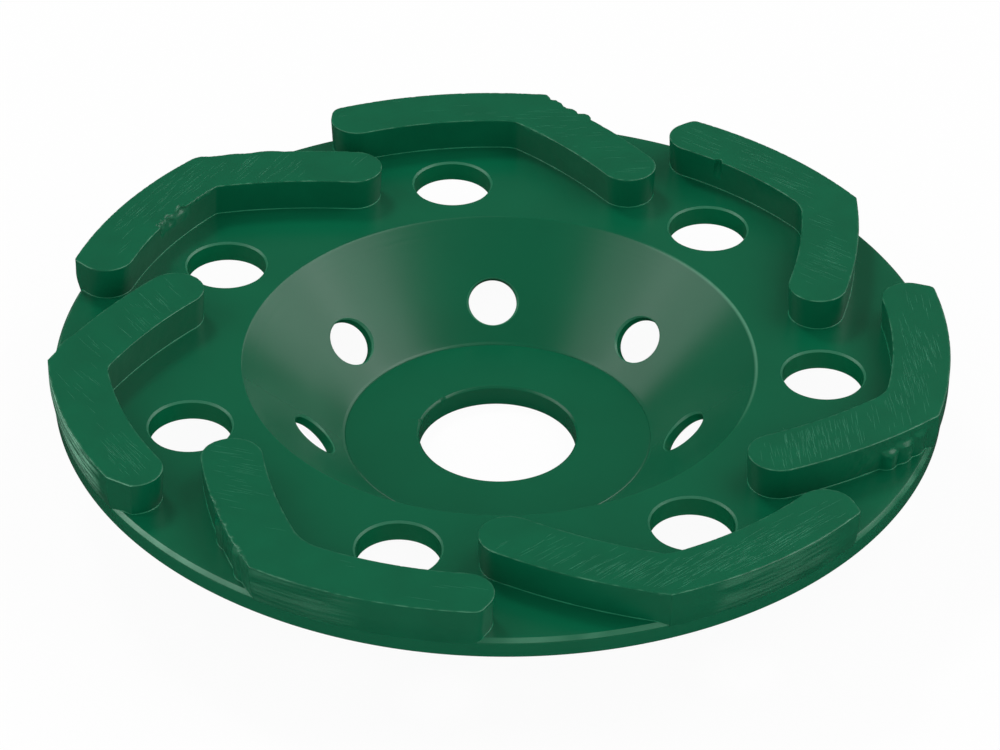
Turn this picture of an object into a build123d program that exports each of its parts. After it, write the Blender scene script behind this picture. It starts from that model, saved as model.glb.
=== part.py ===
from build123d import *
from math import atan2, cos, degrees, hypot, radians, sin, sqrt
import os

# Diamond cup wheel for an angle grinder, in millimetres.
# The cup lies on its hub with the segments up. Z = 0 is the hub's seat and the Z axis is the arbor's.
# The feature that takes most skill is the ring of bent segments: each is an arm that follows the wheel's
# edge, a sharp outer corner and a bowed leg that turns in towards the cup.

# Wheel and arbor
wheel_diameter = 125.0
bore_diameter = 22.23
bore_break = 0.3

# Cup, turned from plate
hub_thickness = 3.1
hub_edge_radius = 1.2
seat_radius = 21.7
seat_corner_radius = 0.3
cup_depth = 13.0
cone_wall = 1.4
flange_width = 26.0
flange_thickness = 3.0
mouth_edge_radius = 0.4
flange_root_radius = 2.0
grinding_step = 0.6
rim_chamfer = 0.5
rim_lower_chamfer = 0.3

# Holes through the flange and through the cone
hole_count = 7
flange_hole_diameter = 11.35
flange_hole_break = 0.2
flange_hole_phase = 99.3
cone_hole_diameter = 7.0
cone_hole_height = 4.3
cone_hole_phase = 92.2

# Segments
segment_count = 7
segment_phase = 136.8
segment_height = 4.9
arm_width = 8.0
arm_sweep = 26.4
arm_end_radii = {1: 0.8, 2: 2.0, 3: 1.4, 4: 1.0, 5: 1.0, 6: 1.8}
leg_width = 8.3
leg_turn = 32.0
leg_sweep = 17.8
leg_bow_radius = 78.0
inner_corner_radii = {1: 1.0, 2: 3.0, 3: 5.0, 4: 5.0, 5: 3.0, 6: 7.0, 7: 3.0}

# Pressing flash on a leg's outer side: distance from the corner, radius, how far it stands proud, and how
# much of the side's height it takes
flank_lumps = {
    1: [(11.0, 9.0, 0.3, 1.0)],
    2: [(3.8, 2.2, 0.6, 1.0), (7.2, 2.0, 0.3, 1.0), (9.6, 1.4, 0.7, 1.0)],
    4: [(3.6, 2.4, 0.5, 0.74), (6.2, 2.4, 0.8, 0.65), (8.6, 1.6, 0.9, 0.55)],
    6: [(4.6, 2.6, 0.4, 0.9), (12.0, 3.0, 0.4, 0.74)],
    7: [(4.5, 8.0, 0.35, 1.0)],
}

# Notches in an arm's inner side: angle past the corner, radius
arm_notches = {3: [(20.2, 0.6)]}

# Ends whose outer corner has broken away: length of the break along the side and across the end
broken_ends = {7: (2.6, 1.8)}

# Sizes worked out from the ones above
wheel_radius = wheel_diameter / 2
bore_radius = bore_diameter / 2
rim_radius = wheel_radius - grinding_step
mouth_radius = rim_radius - flange_width
flange_top = hub_thickness + cup_depth
flange_underside = flange_top - flange_thickness
segment_top = flange_top + segment_height
arm_inner_radius = wheel_radius - arm_width
flange_hole_circle = (mouth_radius + arm_inner_radius) / 2

# The cone's slant: how far it widens for each millimetre of height, and its angle above the seat
cone_flare = (mouth_radius - seat_radius) / cup_depth
cone_angle = degrees(atan2(1.0, cone_flare))
wall_offset = cone_wall / sin(radians(cone_angle))


def outer_cone_radius(height):
    """Radius of the cone's outer side at a height above the hub's seat."""
    return seat_radius + (height - hub_thickness) * cone_flare + wall_offset


def nearest(vertices, point):
    """The vertex of a sketch that lies nearest to a point."""
    return vertices.sort_by_distance(Vector(*point))[0]


def polar(radius, angle, centre=(0.0, 0.0)):
    """A point at a radius and an angle in degrees about a centre."""
    return (centre[0] + radius * cos(radians(angle)), centre[1] + radius * sin(radians(angle)))


def inward_meeting(centre, radius):
    """Where a circle about a centre crosses the arm's inner side, on the side of the corner."""
    distance = hypot(*centre)
    along = (arm_inner_radius ** 2 - radius ** 2 + distance ** 2) / (2 * distance)
    bearing = degrees(atan2(centre[1], centre[0]))
    half_angle = degrees(atan2(sqrt(arm_inner_radius ** 2 - along ** 2), along))
    return polar(arm_inner_radius, bearing - half_angle)


# Cup body: one turned piece with its bore, seven flange holes and seven holes square to the cone
hub_edge = (outer_cone_radius(0), 0)
flange_root = (outer_cone_radius(flange_underside), flange_underside)
rim_lower_edge = (rim_radius, flange_underside)
rim_upper_edge = (rim_radius, flange_top)
mouth_edge = (mouth_radius, flange_top)
seat_corner = (seat_radius, hub_thickness)
bore_upper_edge = (bore_radius, hub_thickness)
bore_lower_edge = (bore_radius, 0)

cone_hole_radius = seat_radius + cone_hole_height * cone_flare
cone_normal_angle = 90 + cone_angle
drill_reach = cone_wall + cone_hole_diameter / 2

with BuildPart() as cup_body:
    with BuildSketch(Plane.XZ) as section:
        with BuildLine():
            Polyline(
                bore_lower_edge,
                hub_edge,
                flange_root,
                rim_lower_edge,
                rim_upper_edge,
                mouth_edge,
                seat_corner,
                bore_upper_edge,
                close=True,
            )
        make_face()
        chamfer(nearest(section.vertices(), bore_upper_edge), bore_break)
        chamfer(nearest(section.vertices(), rim_upper_edge), rim_chamfer)
        chamfer(nearest(section.vertices(), rim_lower_edge), rim_lower_chamfer)
        fillet(nearest(section.vertices(), hub_edge), hub_edge_radius)
        fillet(nearest(section.vertices(), flange_root), flange_root_radius)
        fillet(nearest(section.vertices(), mouth_edge), mouth_edge_radius)
        fillet(nearest(section.vertices(), seat_corner), seat_corner_radius)
    revolve(axis=Axis.Z)
    with BuildSketch(Plane.XY.offset(flange_top)):
        with PolarLocations(flange_hole_circle, hole_count, start_angle=flange_hole_phase):
            Circle(flange_hole_diameter / 2)
    extrude(amount=-flange_thickness, mode=Mode.SUBTRACT)
    mouths = cup_body.edges().filter_by(GeomType.CIRCLE).group_by(Axis.Z)[-1]
    chamfer([e for e in mouths if abs(e.radius - flange_hole_diameter / 2) < 0.001], flange_hole_break)
    drill_planes = []
    for hole in range(hole_count):
        bearing = cone_hole_phase + hole * 360 / hole_count
        spot = (*polar(cone_hole_radius, bearing), hub_thickness + cone_hole_height)
        normal = Vector(cos(radians(cone_normal_angle)), 0, sin(radians(cone_normal_angle)))
        drill_plane = Plane(origin=spot, z_dir=normal.rotate(Axis.Z, bearing))
        drill_planes.append(drill_plane.offset(drill_reach))
    with BuildSketch(*drill_planes):
        Circle(cone_hole_diameter / 2)
    extrude(amount=-2 * drill_reach, mode=Mode.SUBTRACT)

# Outline of a segment, drawn with the wheel's centre at the origin and its outer corner on +Y
arm_middle_radius = wheel_radius - arm_width / 2
arm_end_bearing = 90 + arm_sweep
arm_end_centre = polar(arm_middle_radius, arm_end_bearing)
end_flank_x = arm_end_centre[0] - arm_width / 2
end_outer_point = (end_flank_x, sqrt(wheel_radius ** 2 - end_flank_x ** 2))
end_flank_point = (end_flank_x, arm_end_centre[1])
end_round_middle = polar(arm_width / 2, (180 + arm_end_bearing + 180) / 2, arm_end_centre)
end_inner_point = polar(arm_inner_radius, arm_end_bearing)

outer_corner = (0.0, wheel_radius)
bow_bearing = 90 - leg_turn
bow_centre = polar(-leg_bow_radius, bow_bearing, outer_corner)
tip_bearing = bow_bearing - leg_sweep
leg_inner_radius = leg_bow_radius - leg_width
leg_middle_radius = leg_bow_radius - leg_width / 2
tip_outer_point = polar(leg_bow_radius, tip_bearing, bow_centre)
tip_inner_point = polar(leg_inner_radius, tip_bearing, bow_centre)
tip_centre = polar(leg_middle_radius, tip_bearing, bow_centre)
tip_end_point = polar(leg_width / 2, tip_bearing - 90, tip_centre)
inner_corner = inward_meeting(bow_centre, leg_inner_radius)


def arc_middle(start, end, centre, radius):
    """The point half way along the shorter arc between two points of a circle."""
    first = degrees(atan2(start[1] - centre[1], start[0] - centre[0]))
    last = degrees(atan2(end[1] - centre[1], end[0] - centre[0]))
    return polar(radius, (first + last) / 2, centre)


def segment_body(number):
    """One segment at its place on the flange, with the flash, notch or break that it carries."""
    turn = segment_phase - 90 - (number - 1) * 360 / segment_count
    base = Plane.XY.offset(flange_top).rotated((0, 0, turn))
    wheel_centre = (0.0, 0.0)
    with BuildPart() as body:
        with BuildSketch(base) as outline:
            with BuildLine():
                ThreePointArc(
                    outer_corner,
                    arc_middle(outer_corner, end_outer_point, wheel_centre, wheel_radius),
                    end_outer_point,
                )
                Line(end_outer_point, end_flank_point)
                ThreePointArc(end_flank_point, end_round_middle, end_inner_point)
                ThreePointArc(
                    end_inner_point,
                    arc_middle(end_inner_point, inner_corner, wheel_centre, arm_inner_radius),
                    inner_corner,
                )
                ThreePointArc(
                    inner_corner,
                    arc_middle(inner_corner, tip_inner_point, bow_centre, leg_inner_radius),
                    tip_inner_point,
                )
                ThreePointArc(tip_inner_point, tip_end_point, tip_outer_point)
                ThreePointArc(
                    tip_outer_point,
                    arc_middle(tip_outer_point, outer_corner, bow_centre, leg_bow_radius),
                    outer_corner,
                )
            make_face()
            local = outline.sketch_local.vertices()
            fillet(nearest(local, inner_corner), inner_corner_radii[number])
            local = outline.sketch_local.vertices()
            if number in broken_ends:
                side_length, end_length = broken_ends[number]
                chamfer(nearest(local, end_outer_point), side_length, end_length)
            else:
                fillet(nearest(local, end_outer_point), arm_end_radii[number])
            for angle, radius in arm_notches.get(number, []):
                with Locations(polar(arm_inner_radius, 90 + angle)):
                    Circle(radius, mode=Mode.SUBTRACT)
        extrude(amount=segment_height)
        for distance, radius, proud, height_share in flank_lumps.get(number, []):
            bearing = bow_bearing - degrees(distance / leg_bow_radius)
            with BuildSketch(base) as lump:
                with Locations(polar(leg_bow_radius - radius + proud, bearing, bow_centre)):
                    Circle(radius)
                Circle(wheel_radius, mode=Mode.INTERSECT)
                with Locations(bow_centre):
                    Circle(leg_middle_radius, mode=Mode.SUBTRACT)
            extrude(amount=height_share * segment_height)
    return body


segments = {f"segment_{number}": segment_body(number) for number in range(1, segment_count + 1)}

os.makedirs("parts", exist_ok=True)
cup_body.part.label = "cup_body"
export_step(cup_body.part, "parts/cup_body.step")
for name, segment in segments.items():
    segment.part.label = name
    export_step(segment.part, f"parts/{name}.step")
    print(name, "volume", round(segment.part.volume, 1))
print("cup_body volume", round(cup_body.part.volume, 1), "top of the segments", round(segment_top, 2))
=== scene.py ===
import logging
import math
from dataclasses import dataclass, field
from enum import Enum

import bpy
import numpy as np
from mathutils import Matrix, Vector
from mathutils.geometry import delaunay_2d_cdt


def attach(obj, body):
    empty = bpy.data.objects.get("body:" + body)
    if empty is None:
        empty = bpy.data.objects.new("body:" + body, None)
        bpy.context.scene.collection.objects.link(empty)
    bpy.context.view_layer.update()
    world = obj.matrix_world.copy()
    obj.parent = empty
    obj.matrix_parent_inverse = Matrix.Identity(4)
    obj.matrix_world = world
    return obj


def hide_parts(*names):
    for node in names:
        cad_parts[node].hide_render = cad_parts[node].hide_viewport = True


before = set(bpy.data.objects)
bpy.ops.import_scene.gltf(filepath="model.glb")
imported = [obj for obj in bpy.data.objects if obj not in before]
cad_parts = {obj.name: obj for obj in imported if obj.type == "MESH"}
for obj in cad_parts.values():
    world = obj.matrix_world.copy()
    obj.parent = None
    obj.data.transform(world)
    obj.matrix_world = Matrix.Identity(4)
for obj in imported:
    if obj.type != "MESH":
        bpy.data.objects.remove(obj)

# A painted diamond cup wheel lies on its hub on a pale studio floor.
# Sizes are in millimetres, with the wheel's axis on Z and Z = 0 under the hub, until a mesh is made in metres.
MM = 0.001
BODY = "root"
PICTURE_WIDTH_PX = 1000

# Most of a noise texture's output lies between these
NOISE_LOW, NOISE_HIGH = 0.3, 0.7

log = logging.getLogger("cup_wheel")


def linear(hex_colour: str) -> tuple[float, float, float, float]:
    """Turns a written colour into the linear light that shaders work in.

    Args:
        hex_colour: An sRGB colour such as "#1E5D41".

    Returns:
        Red, green, blue and an alpha of 1, in linear light.
    """
    channels = [int(hex_colour[i:i + 2], 16) / 255 for i in (1, 3, 5)]
    straight = [c / 12.92 if c <= 0.04045 else ((c + 0.055) / 1.055) ** 2.4 for c in channels]
    return (*straight, 1.0)


def add_node(
    tree: bpy.types.NodeTree, kind: str, settings: dict | None = None, links: dict | None = None
) -> bpy.types.Node:
    """Adds a node to a shader or geometry tree.

    Args:
        tree: The tree that gets the node.
        kind: The node's type name.
        settings: Properties of the node, or values of its inputs by name or number.
        links: Output sockets of other nodes by the name or number of the input that they feed.

    Returns:
        The new node.
    """
    node = tree.nodes.new(kind)
    plain = {key: value for key, value in (settings or {}).items() if isinstance(key, str) and hasattr(node, key)}
    for key, value in plain.items():
        setattr(node, key, value)
    for key, value in (settings or {}).items():
        if key not in plain:
            node.inputs[key].default_value = value
    for key, socket in (links or {}).items():
        tree.links.new(socket, node.inputs[key])
    return node


def mesh_object(name: str, points: np.ndarray, faces: list, material: bpy.types.Material) -> bpy.types.Object:
    """Makes a smooth-shaded object at the origin from points in millimetres.

    Args:
        name: The object's name.
        points: One row for each point.
        faces: Tuples of point numbers, anticlockwise seen from outside.
        material: The finish of all its faces.

    Returns:
        The linked object.
    """
    mesh = bpy.data.meshes.new(name)
    mesh.from_pydata((np.asarray(points) * MM).tolist(), [], faces)
    mesh.materials.append(material)
    mesh.update()
    mesh.shade_smooth()
    piece = bpy.data.objects.new(name, mesh)
    bpy.context.scene.collection.objects.link(piece)
    return piece


def set_layer(piece: bpy.types.Object, label: str, values: np.ndarray) -> None:
    """Writes one number for each point of a piece into a named attribute, for its finish or its scratches."""
    layer = piece.data.attributes.new(label, "FLOAT", "POINT")
    layer.data.foreach_set("value", np.asarray(values, np.float32).ravel())


def geometry_tree(
    name: str, taken: str, sizes: dict[str, float | int], made: str
) -> tuple[bpy.types.NodeTree, bpy.types.NodeOutputs]:
    """Starts a geometry tree with its named inputs and its output.

    Args:
        name: The tree's name.
        taken: The name of the geometry that it takes in.
        sizes: The name and the value of each number that it takes in. A whole number makes a whole-number input.
        made: The name of the geometry that it gives out.

    Returns:
        The tree, and the inputs' sockets as its nodes read them.
    """
    tree = bpy.data.node_groups.new(name, "GeometryNodeTree")
    tree.is_modifier = True
    tree.interface.new_socket(taken, in_out="INPUT", socket_type="NodeSocketGeometry")
    for label, value in sizes.items():
        kind = "NodeSocketInt" if isinstance(value, int) else "NodeSocketFloat"
        tree.interface.new_socket(label, in_out="INPUT", socket_type=kind).default_value = value
    tree.interface.new_socket(made, in_out="OUTPUT", socket_type="NodeSocketGeometry")
    return tree, add_node(tree, "NodeGroupInput").outputs


def finish_tree(
    tree: bpy.types.NodeTree, shape: bpy.types.NodeSocket, finish: bpy.types.Material, made: str
) -> bpy.types.NodeTree:
    """Ends a geometry tree: makes its instances real, shades them smooth and gives them their finish.

    Args:
        tree: The tree.
        shape: The geometry, with its instances.
        finish: The material of the whole result.
        made: The name of the tree's output.

    Returns:
        The same tree.
    """
    real = add_node(tree, "GeometryNodeRealizeInstances", links={0: shape})
    smooth = add_node(tree, "GeometryNodeSetShadeSmooth", {"Shade Smooth": True}, {0: real.outputs[0]})
    painted = add_node(tree, "GeometryNodeSetMaterial", {"Material": finish}, {0: smooth.outputs[0]})
    add_node(tree, "NodeGroupOutput", links={made: painted.outputs[0]})
    return tree


def bake(piece: bpy.types.Object, tree: bpy.types.NodeTree, sizes: dict[str, float | int]) -> bpy.types.Object:
    """Runs a geometry tree on an object and keeps the result as its plain mesh.

    Args:
        piece: The object that the tree starts from.
        tree: The geometry tree.
        sizes: Values for the tree's named inputs.

    Returns:
        The same object.
    """
    modifier = piece.modifiers.new(tree.name, "NODES")
    modifier.node_group = tree
    for socket in tree.interface.items_tree:
        if socket.in_out == "INPUT" and socket.name in sizes:
            modifier[socket.identifier] = sizes[socket.name]
    view = bpy.context.evaluated_depsgraph_get()
    mesh = bpy.data.meshes.new_from_object(piece.evaluated_get(view))
    piece.modifiers.clear()
    piece.data = mesh
    return piece


def polar(radius: float, angle: float, centre: tuple[float, float] = (0.0, 0.0)) -> np.ndarray:
    """Gives the point at a radius and an angle in degrees about a centre."""
    turn = math.radians(angle)
    return np.array([centre[0] + radius * math.cos(turn), centre[1] + radius * math.sin(turn)])


class SmoothNoise:
    """Seeded smooth noise between -1 and 1, for surfaces that no tool left quite even."""

    TABLE_SIZE = 4096
    # How far apart in the table two neighbouring rows of a surface are read
    ROW_STRIDE = 131

    def __init__(self, seed: int, pitch: float) -> None:
        """Fills the table.

        Args:
            seed: The number of the draw.
            pitch: Millimetres from one value to the next.
        """
        self.pitch = pitch
        self.table = np.random.default_rng(seed).uniform(-1.0, 1.0, self.TABLE_SIZE)

    def along(self, distance: np.ndarray, angular: bool = False) -> np.ndarray:
        """Gives the noise along a line.

        Args:
            distance: Distances along the line.
            angular: Whether it runs straight from value to value, with corners between, and doesn't ease.

        Returns:
            The noise at each distance.
        """
        place = np.asarray(distance, float) / self.pitch
        cell = np.floor(place).astype(int)
        part = place - cell
        ease = part if angular else part * part * (3 - 2 * part)
        low = self.table[cell % self.TABLE_SIZE]
        high = self.table[(cell + 1) % self.TABLE_SIZE]
        return low + (high - low) * ease

    def over(self, first: np.ndarray, second: np.ndarray) -> np.ndarray:
        """Gives the noise on a surface.

        Args:
            first: Places along the surface's first direction, in millimetres.
            second: Places along its second direction.

        Returns:
            The noise at each place.
        """
        u = np.asarray(first, float) / self.pitch
        v = np.asarray(second, float) / self.pitch
        i, j = np.floor(u).astype(int), np.floor(v).astype(int)
        fu, fv = u - i, v - j
        su, sv = fu * fu * (3 - 2 * fu), fv * fv * (3 - 2 * fv)
        corner = [self.table[(i + a + (j + b) * self.ROW_STRIDE) % self.TABLE_SIZE] for b in (0, 1) for a in (0, 1)]
        low = corner[0] + (corner[1] - corner[0]) * su
        high = corner[2] + (corner[3] - corner[2]) * su
        return low + (high - low) * sv


class Draw(Enum):
    """What a segment's noise is for: the number that its draws start from, and its pitch in millimetres."""

    EDGE_CHIPS = (100, 0.35)
    PRESSED_WALL = (200, 1.3)
    ROUGH_FLANK = (250, 0.8)
    GRIT = (300, 0.45)
    EDGE_WEAR_AND_HIGHLIGHT = (400, 0.8)
    STREAK_WEAR_AND_SHEEN = (450, 1.0)
    TOP_SWELL = (500, 5.0)
    TOP_RIPPLE = (600, 0.9)
    STRAY_SCRATCHES = (700, 6.0)
    BRAZE_WANDER = (800, 1.6)

    def noise(self, number: int) -> SmoothNoise:
        """Draws the noise of this kind for the segment of a number."""
        first, pitch = self.value
        return SmoothNoise(first + number, pitch)


@dataclass(frozen=True)
class Enamel:
    """Steel or sintered metal under one thin sprayed coat of green enamel.

    The coat is thin and satin. It takes the shape of the tool marks under it, so light runs out in soft bands
    on turned faces. It looks paler where a lamp is mirrored in it, and its colour is also painted paler where each
    point says so: partly for wear, partly as painted highlights.
    """

    name: str
    colour: str = "#03593B"
    # The paler green that the coat is mixed towards, at worn places and at painted highlights
    pale: str = "#7CBB9C"
    roughness: float = 0.26
    specular: float = 0.5
    peel_mm: float = 0.9
    peel_height_mm: float = 0.0012
    grain_mm: float = 0.16
    grain_height_mm: float = 0.0
    turning_mm: float = 0.0
    turning_height_mm: float = 0.0
    wall_line_mm: float = 0.0
    wall_line_height_mm: float = 0.0
    grind_line_run_mm: float = 5.0
    grind_line_mm: float = 0.125
    grind_line_height_mm: float = 0.0
    mottle: float = 0.05
    mottle_mm: float = 14.0

    def make(self) -> bpy.types.Material:
        """Builds the enamel's node tree.

        Returns:
            The material.
        """
        material = bpy.data.materials.new(self.name)
        material.use_nodes = True
        tree = material.node_tree
        tree.nodes.clear()
        place = add_node(tree, "ShaderNodeTexCoord").outputs["Object"]
        shade = self._colour(tree, place)
        bump = self._relief(tree, place)
        shader = add_node(
            tree,
            "ShaderNodeBsdfPrincipled",
            {"Roughness": self.roughness, "Specular IOR Level": self.specular},
            {"Base Color": shade, "Normal": bump},
        )
        add_node(tree, "ShaderNodeOutputMaterial", links={"Surface": shader.outputs["BSDF"]})
        return material

    def _colour(self, tree: bpy.types.NodeTree, place: bpy.types.NodeSocket) -> bpy.types.NodeSocket:
        """Adds the coat's colour, a little uneven in depth, and painted paler where a share on each point says so:
        partly for wear, partly as painted highlights.

        Args:
            tree: The material's tree.
            place: The object coordinates.

        Returns:
            The colour's socket.
        """
        cloud = add_node(
            tree, "ShaderNodeTexNoise", {"Scale": 1 / (self.mottle_mm * MM), "Detail": 3.0}, {"Vector": place}
        )
        depth = add_node(
            tree,
            "ShaderNodeMapRange",
            {"From Min": NOISE_LOW, "From Max": NOISE_HIGH, "To Min": 1 - self.mottle, "To Max": 1 + self.mottle},
            {"Value": cloud.outputs["Fac"]},
        )
        even = add_node(
            tree,
            "ShaderNodeVectorMath",
            {"operation": "SCALE", 0: linear(self.colour)[:3]},
            {"Scale": depth.outputs["Result"]},
        )
        # Each point's share of the paler green: partly wear, partly painted highlight
        worn_and_highlit = add_node(tree, "ShaderNodeAttribute", {"attribute_name": "worn_and_highlit"})
        mixed = add_node(
            tree,
            "ShaderNodeMix",
            {"data_type": "RGBA", 7: linear(self.pale)},
            {0: worn_and_highlit.outputs["Fac"], 6: even.outputs["Vector"]},
        )
        return mixed.outputs[2]

    def _relief(self, tree: bpy.types.NodeTree, place: bpy.types.NodeSocket) -> bpy.types.NodeSocket:
        """Adds the sprayed skin, the grain and the tool marks that this finish has, one bump over the other.

        Args:
            tree: The material's tree.
            place: The object coordinates.

        Returns:
            The normal's socket.
        """
        normal = None
        skin = add_node(
            tree, "ShaderNodeTexNoise", {"Scale": 1 / (self.peel_mm * MM), "Detail": 2.0}, {"Vector": place}
        )
        layers = [(skin.outputs["Fac"], self.peel_height_mm)]
        if self.grain_height_mm:
            grain = add_node(
                tree,
                "ShaderNodeTexNoise",
                {"Scale": 1 / (self.grain_mm * MM), "Detail": 3.0, "Roughness": 0.6},
                {"Vector": place},
            )
            layers.append((grain.outputs["Fac"], self.grain_height_mm))
        if self.turning_height_mm:
            flat = add_node(tree, "ShaderNodeVectorMath", {"operation": "MULTIPLY", 1: (1.0, 1.0, 0.0)}, {0: place})
            reach = add_node(tree, "ShaderNodeVectorMath", {"operation": "LENGTH"}, {0: flat.outputs["Vector"]})
            rings = add_node(
                tree,
                "ShaderNodeTexNoise",
                {"noise_dimensions": "1D", "Scale": 1 / (self.turning_mm * MM), "Detail": 2.0},
                {"W": reach.outputs["Value"]},
            )
            layers.append((rings.outputs["Fac"], self.turning_height_mm))
        if self.wall_line_height_mm:
            height = add_node(tree, "ShaderNodeSeparateXYZ", links={"Vector": place})
            lines = add_node(
                tree,
                "ShaderNodeTexNoise",
                {"noise_dimensions": "1D", "Scale": 1 / (self.wall_line_mm * MM), "Detail": 2.0},
                {"W": height.outputs["Z"]},
            )
            layers.append((lines.outputs["Fac"], self.wall_line_height_mm))
        if self.grind_line_height_mm:
            strip = add_node(tree, "ShaderNodeAttribute", {"attribute_name": "strip"})
            drawn = add_node(
                tree,
                "ShaderNodeVectorMath",
                {"operation": "MULTIPLY", 1: (1 / self.grind_line_run_mm, 1 / self.grind_line_mm, 0.0)},
                {0: strip.outputs["Vector"]},
            )
            lines = add_node(
                tree, "ShaderNodeTexNoise", {"Scale": 1.0, "Detail": 4.0}, {"Vector": drawn.outputs["Vector"]}
            )
            ground = add_node(tree, "ShaderNodeAttribute", {"attribute_name": "ground"})
            cut = add_node(
                tree,
                "ShaderNodeMath",
                {"operation": "MULTIPLY"},
                {0: lines.outputs["Fac"], 1: ground.outputs["Fac"]},
            )
            layers.append((cut.outputs[0], self.grind_line_height_mm))
        for pattern, depth in layers:
            links = {"Height": pattern}
            if normal is not None:
                links["Normal"] = normal
            normal = add_node(tree, "ShaderNodeBump", {"Distance": depth * MM}, links).outputs["Normal"]
        return normal


@dataclass
class Finishes:
    """Every finish on the wheel, made once and shared."""

    turned: bpy.types.Material = field(init=False)
    drilled: bpy.types.Material = field(init=False)
    mouth: bpy.types.Material = field(init=False)
    sintered: bpy.types.Material = field(init=False)
    braze: bpy.types.Material = field(init=False)
    scratch: bpy.types.Material = field(init=False)

    def __post_init__(self) -> None:
        """Makes the materials."""
        # Mild steel plate, spun and faced on a lathe: rings a third of a millimetre apart show through the coat
        self.turned = Enamel(
            "enamel_on_turned_steel",
            turning_mm=0.35,
            turning_height_mm=0.0010,
        ).make()
        # Walls of the drilled windows and vents: the cutter's feed lines run round them. Their green is lighter than
        # the enamel's elsewhere: painted light, for the light that reaches inside the holes
        self.drilled = Enamel(
            "enamel_on_drilled_steel",
            colour="#046843",
            roughness=0.3,
            wall_line_mm=0.28,
            wall_line_height_mm=0.012,
        ).make()
        # The countersunk mouths of the holes, in a paler green: a painted highlight for the light ring along their
        # chamfers
        self.mouth = Enamel(
            "enamel_painted_highlight_on_countersinks",
            colour="#2C7355",
            roughness=0.3,
        ).make()
        # Sintered bronze and diamond, ground on top: a matt, fine-grained skin
        self.sintered = Enamel(
            "enamel_on_sintered_segment",
            roughness=0.28,
            grain_height_mm=0.0012,
            grind_line_height_mm=0.08,
            mottle=0.06,
            mottle_mm=5.0,
        ).make()
        # The thin run of filler metal along a segment's foot, glossier than the rest, in a paler green: a painted
        # highlight for the light line that the bead catches
        self.braze = Enamel(
            "enamel_on_braze",
            colour="#1B7553",
            roughness=0.25,
            grain_height_mm=0.002,
        ).make()
        # Scratches that the grinding of the top faces drew up into fine, rubbed ridges
        self.scratch = Enamel(
            "enamel_rubbed_on_scratches",
            colour="#338062",
            roughness=0.35,
        ).make()


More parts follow.
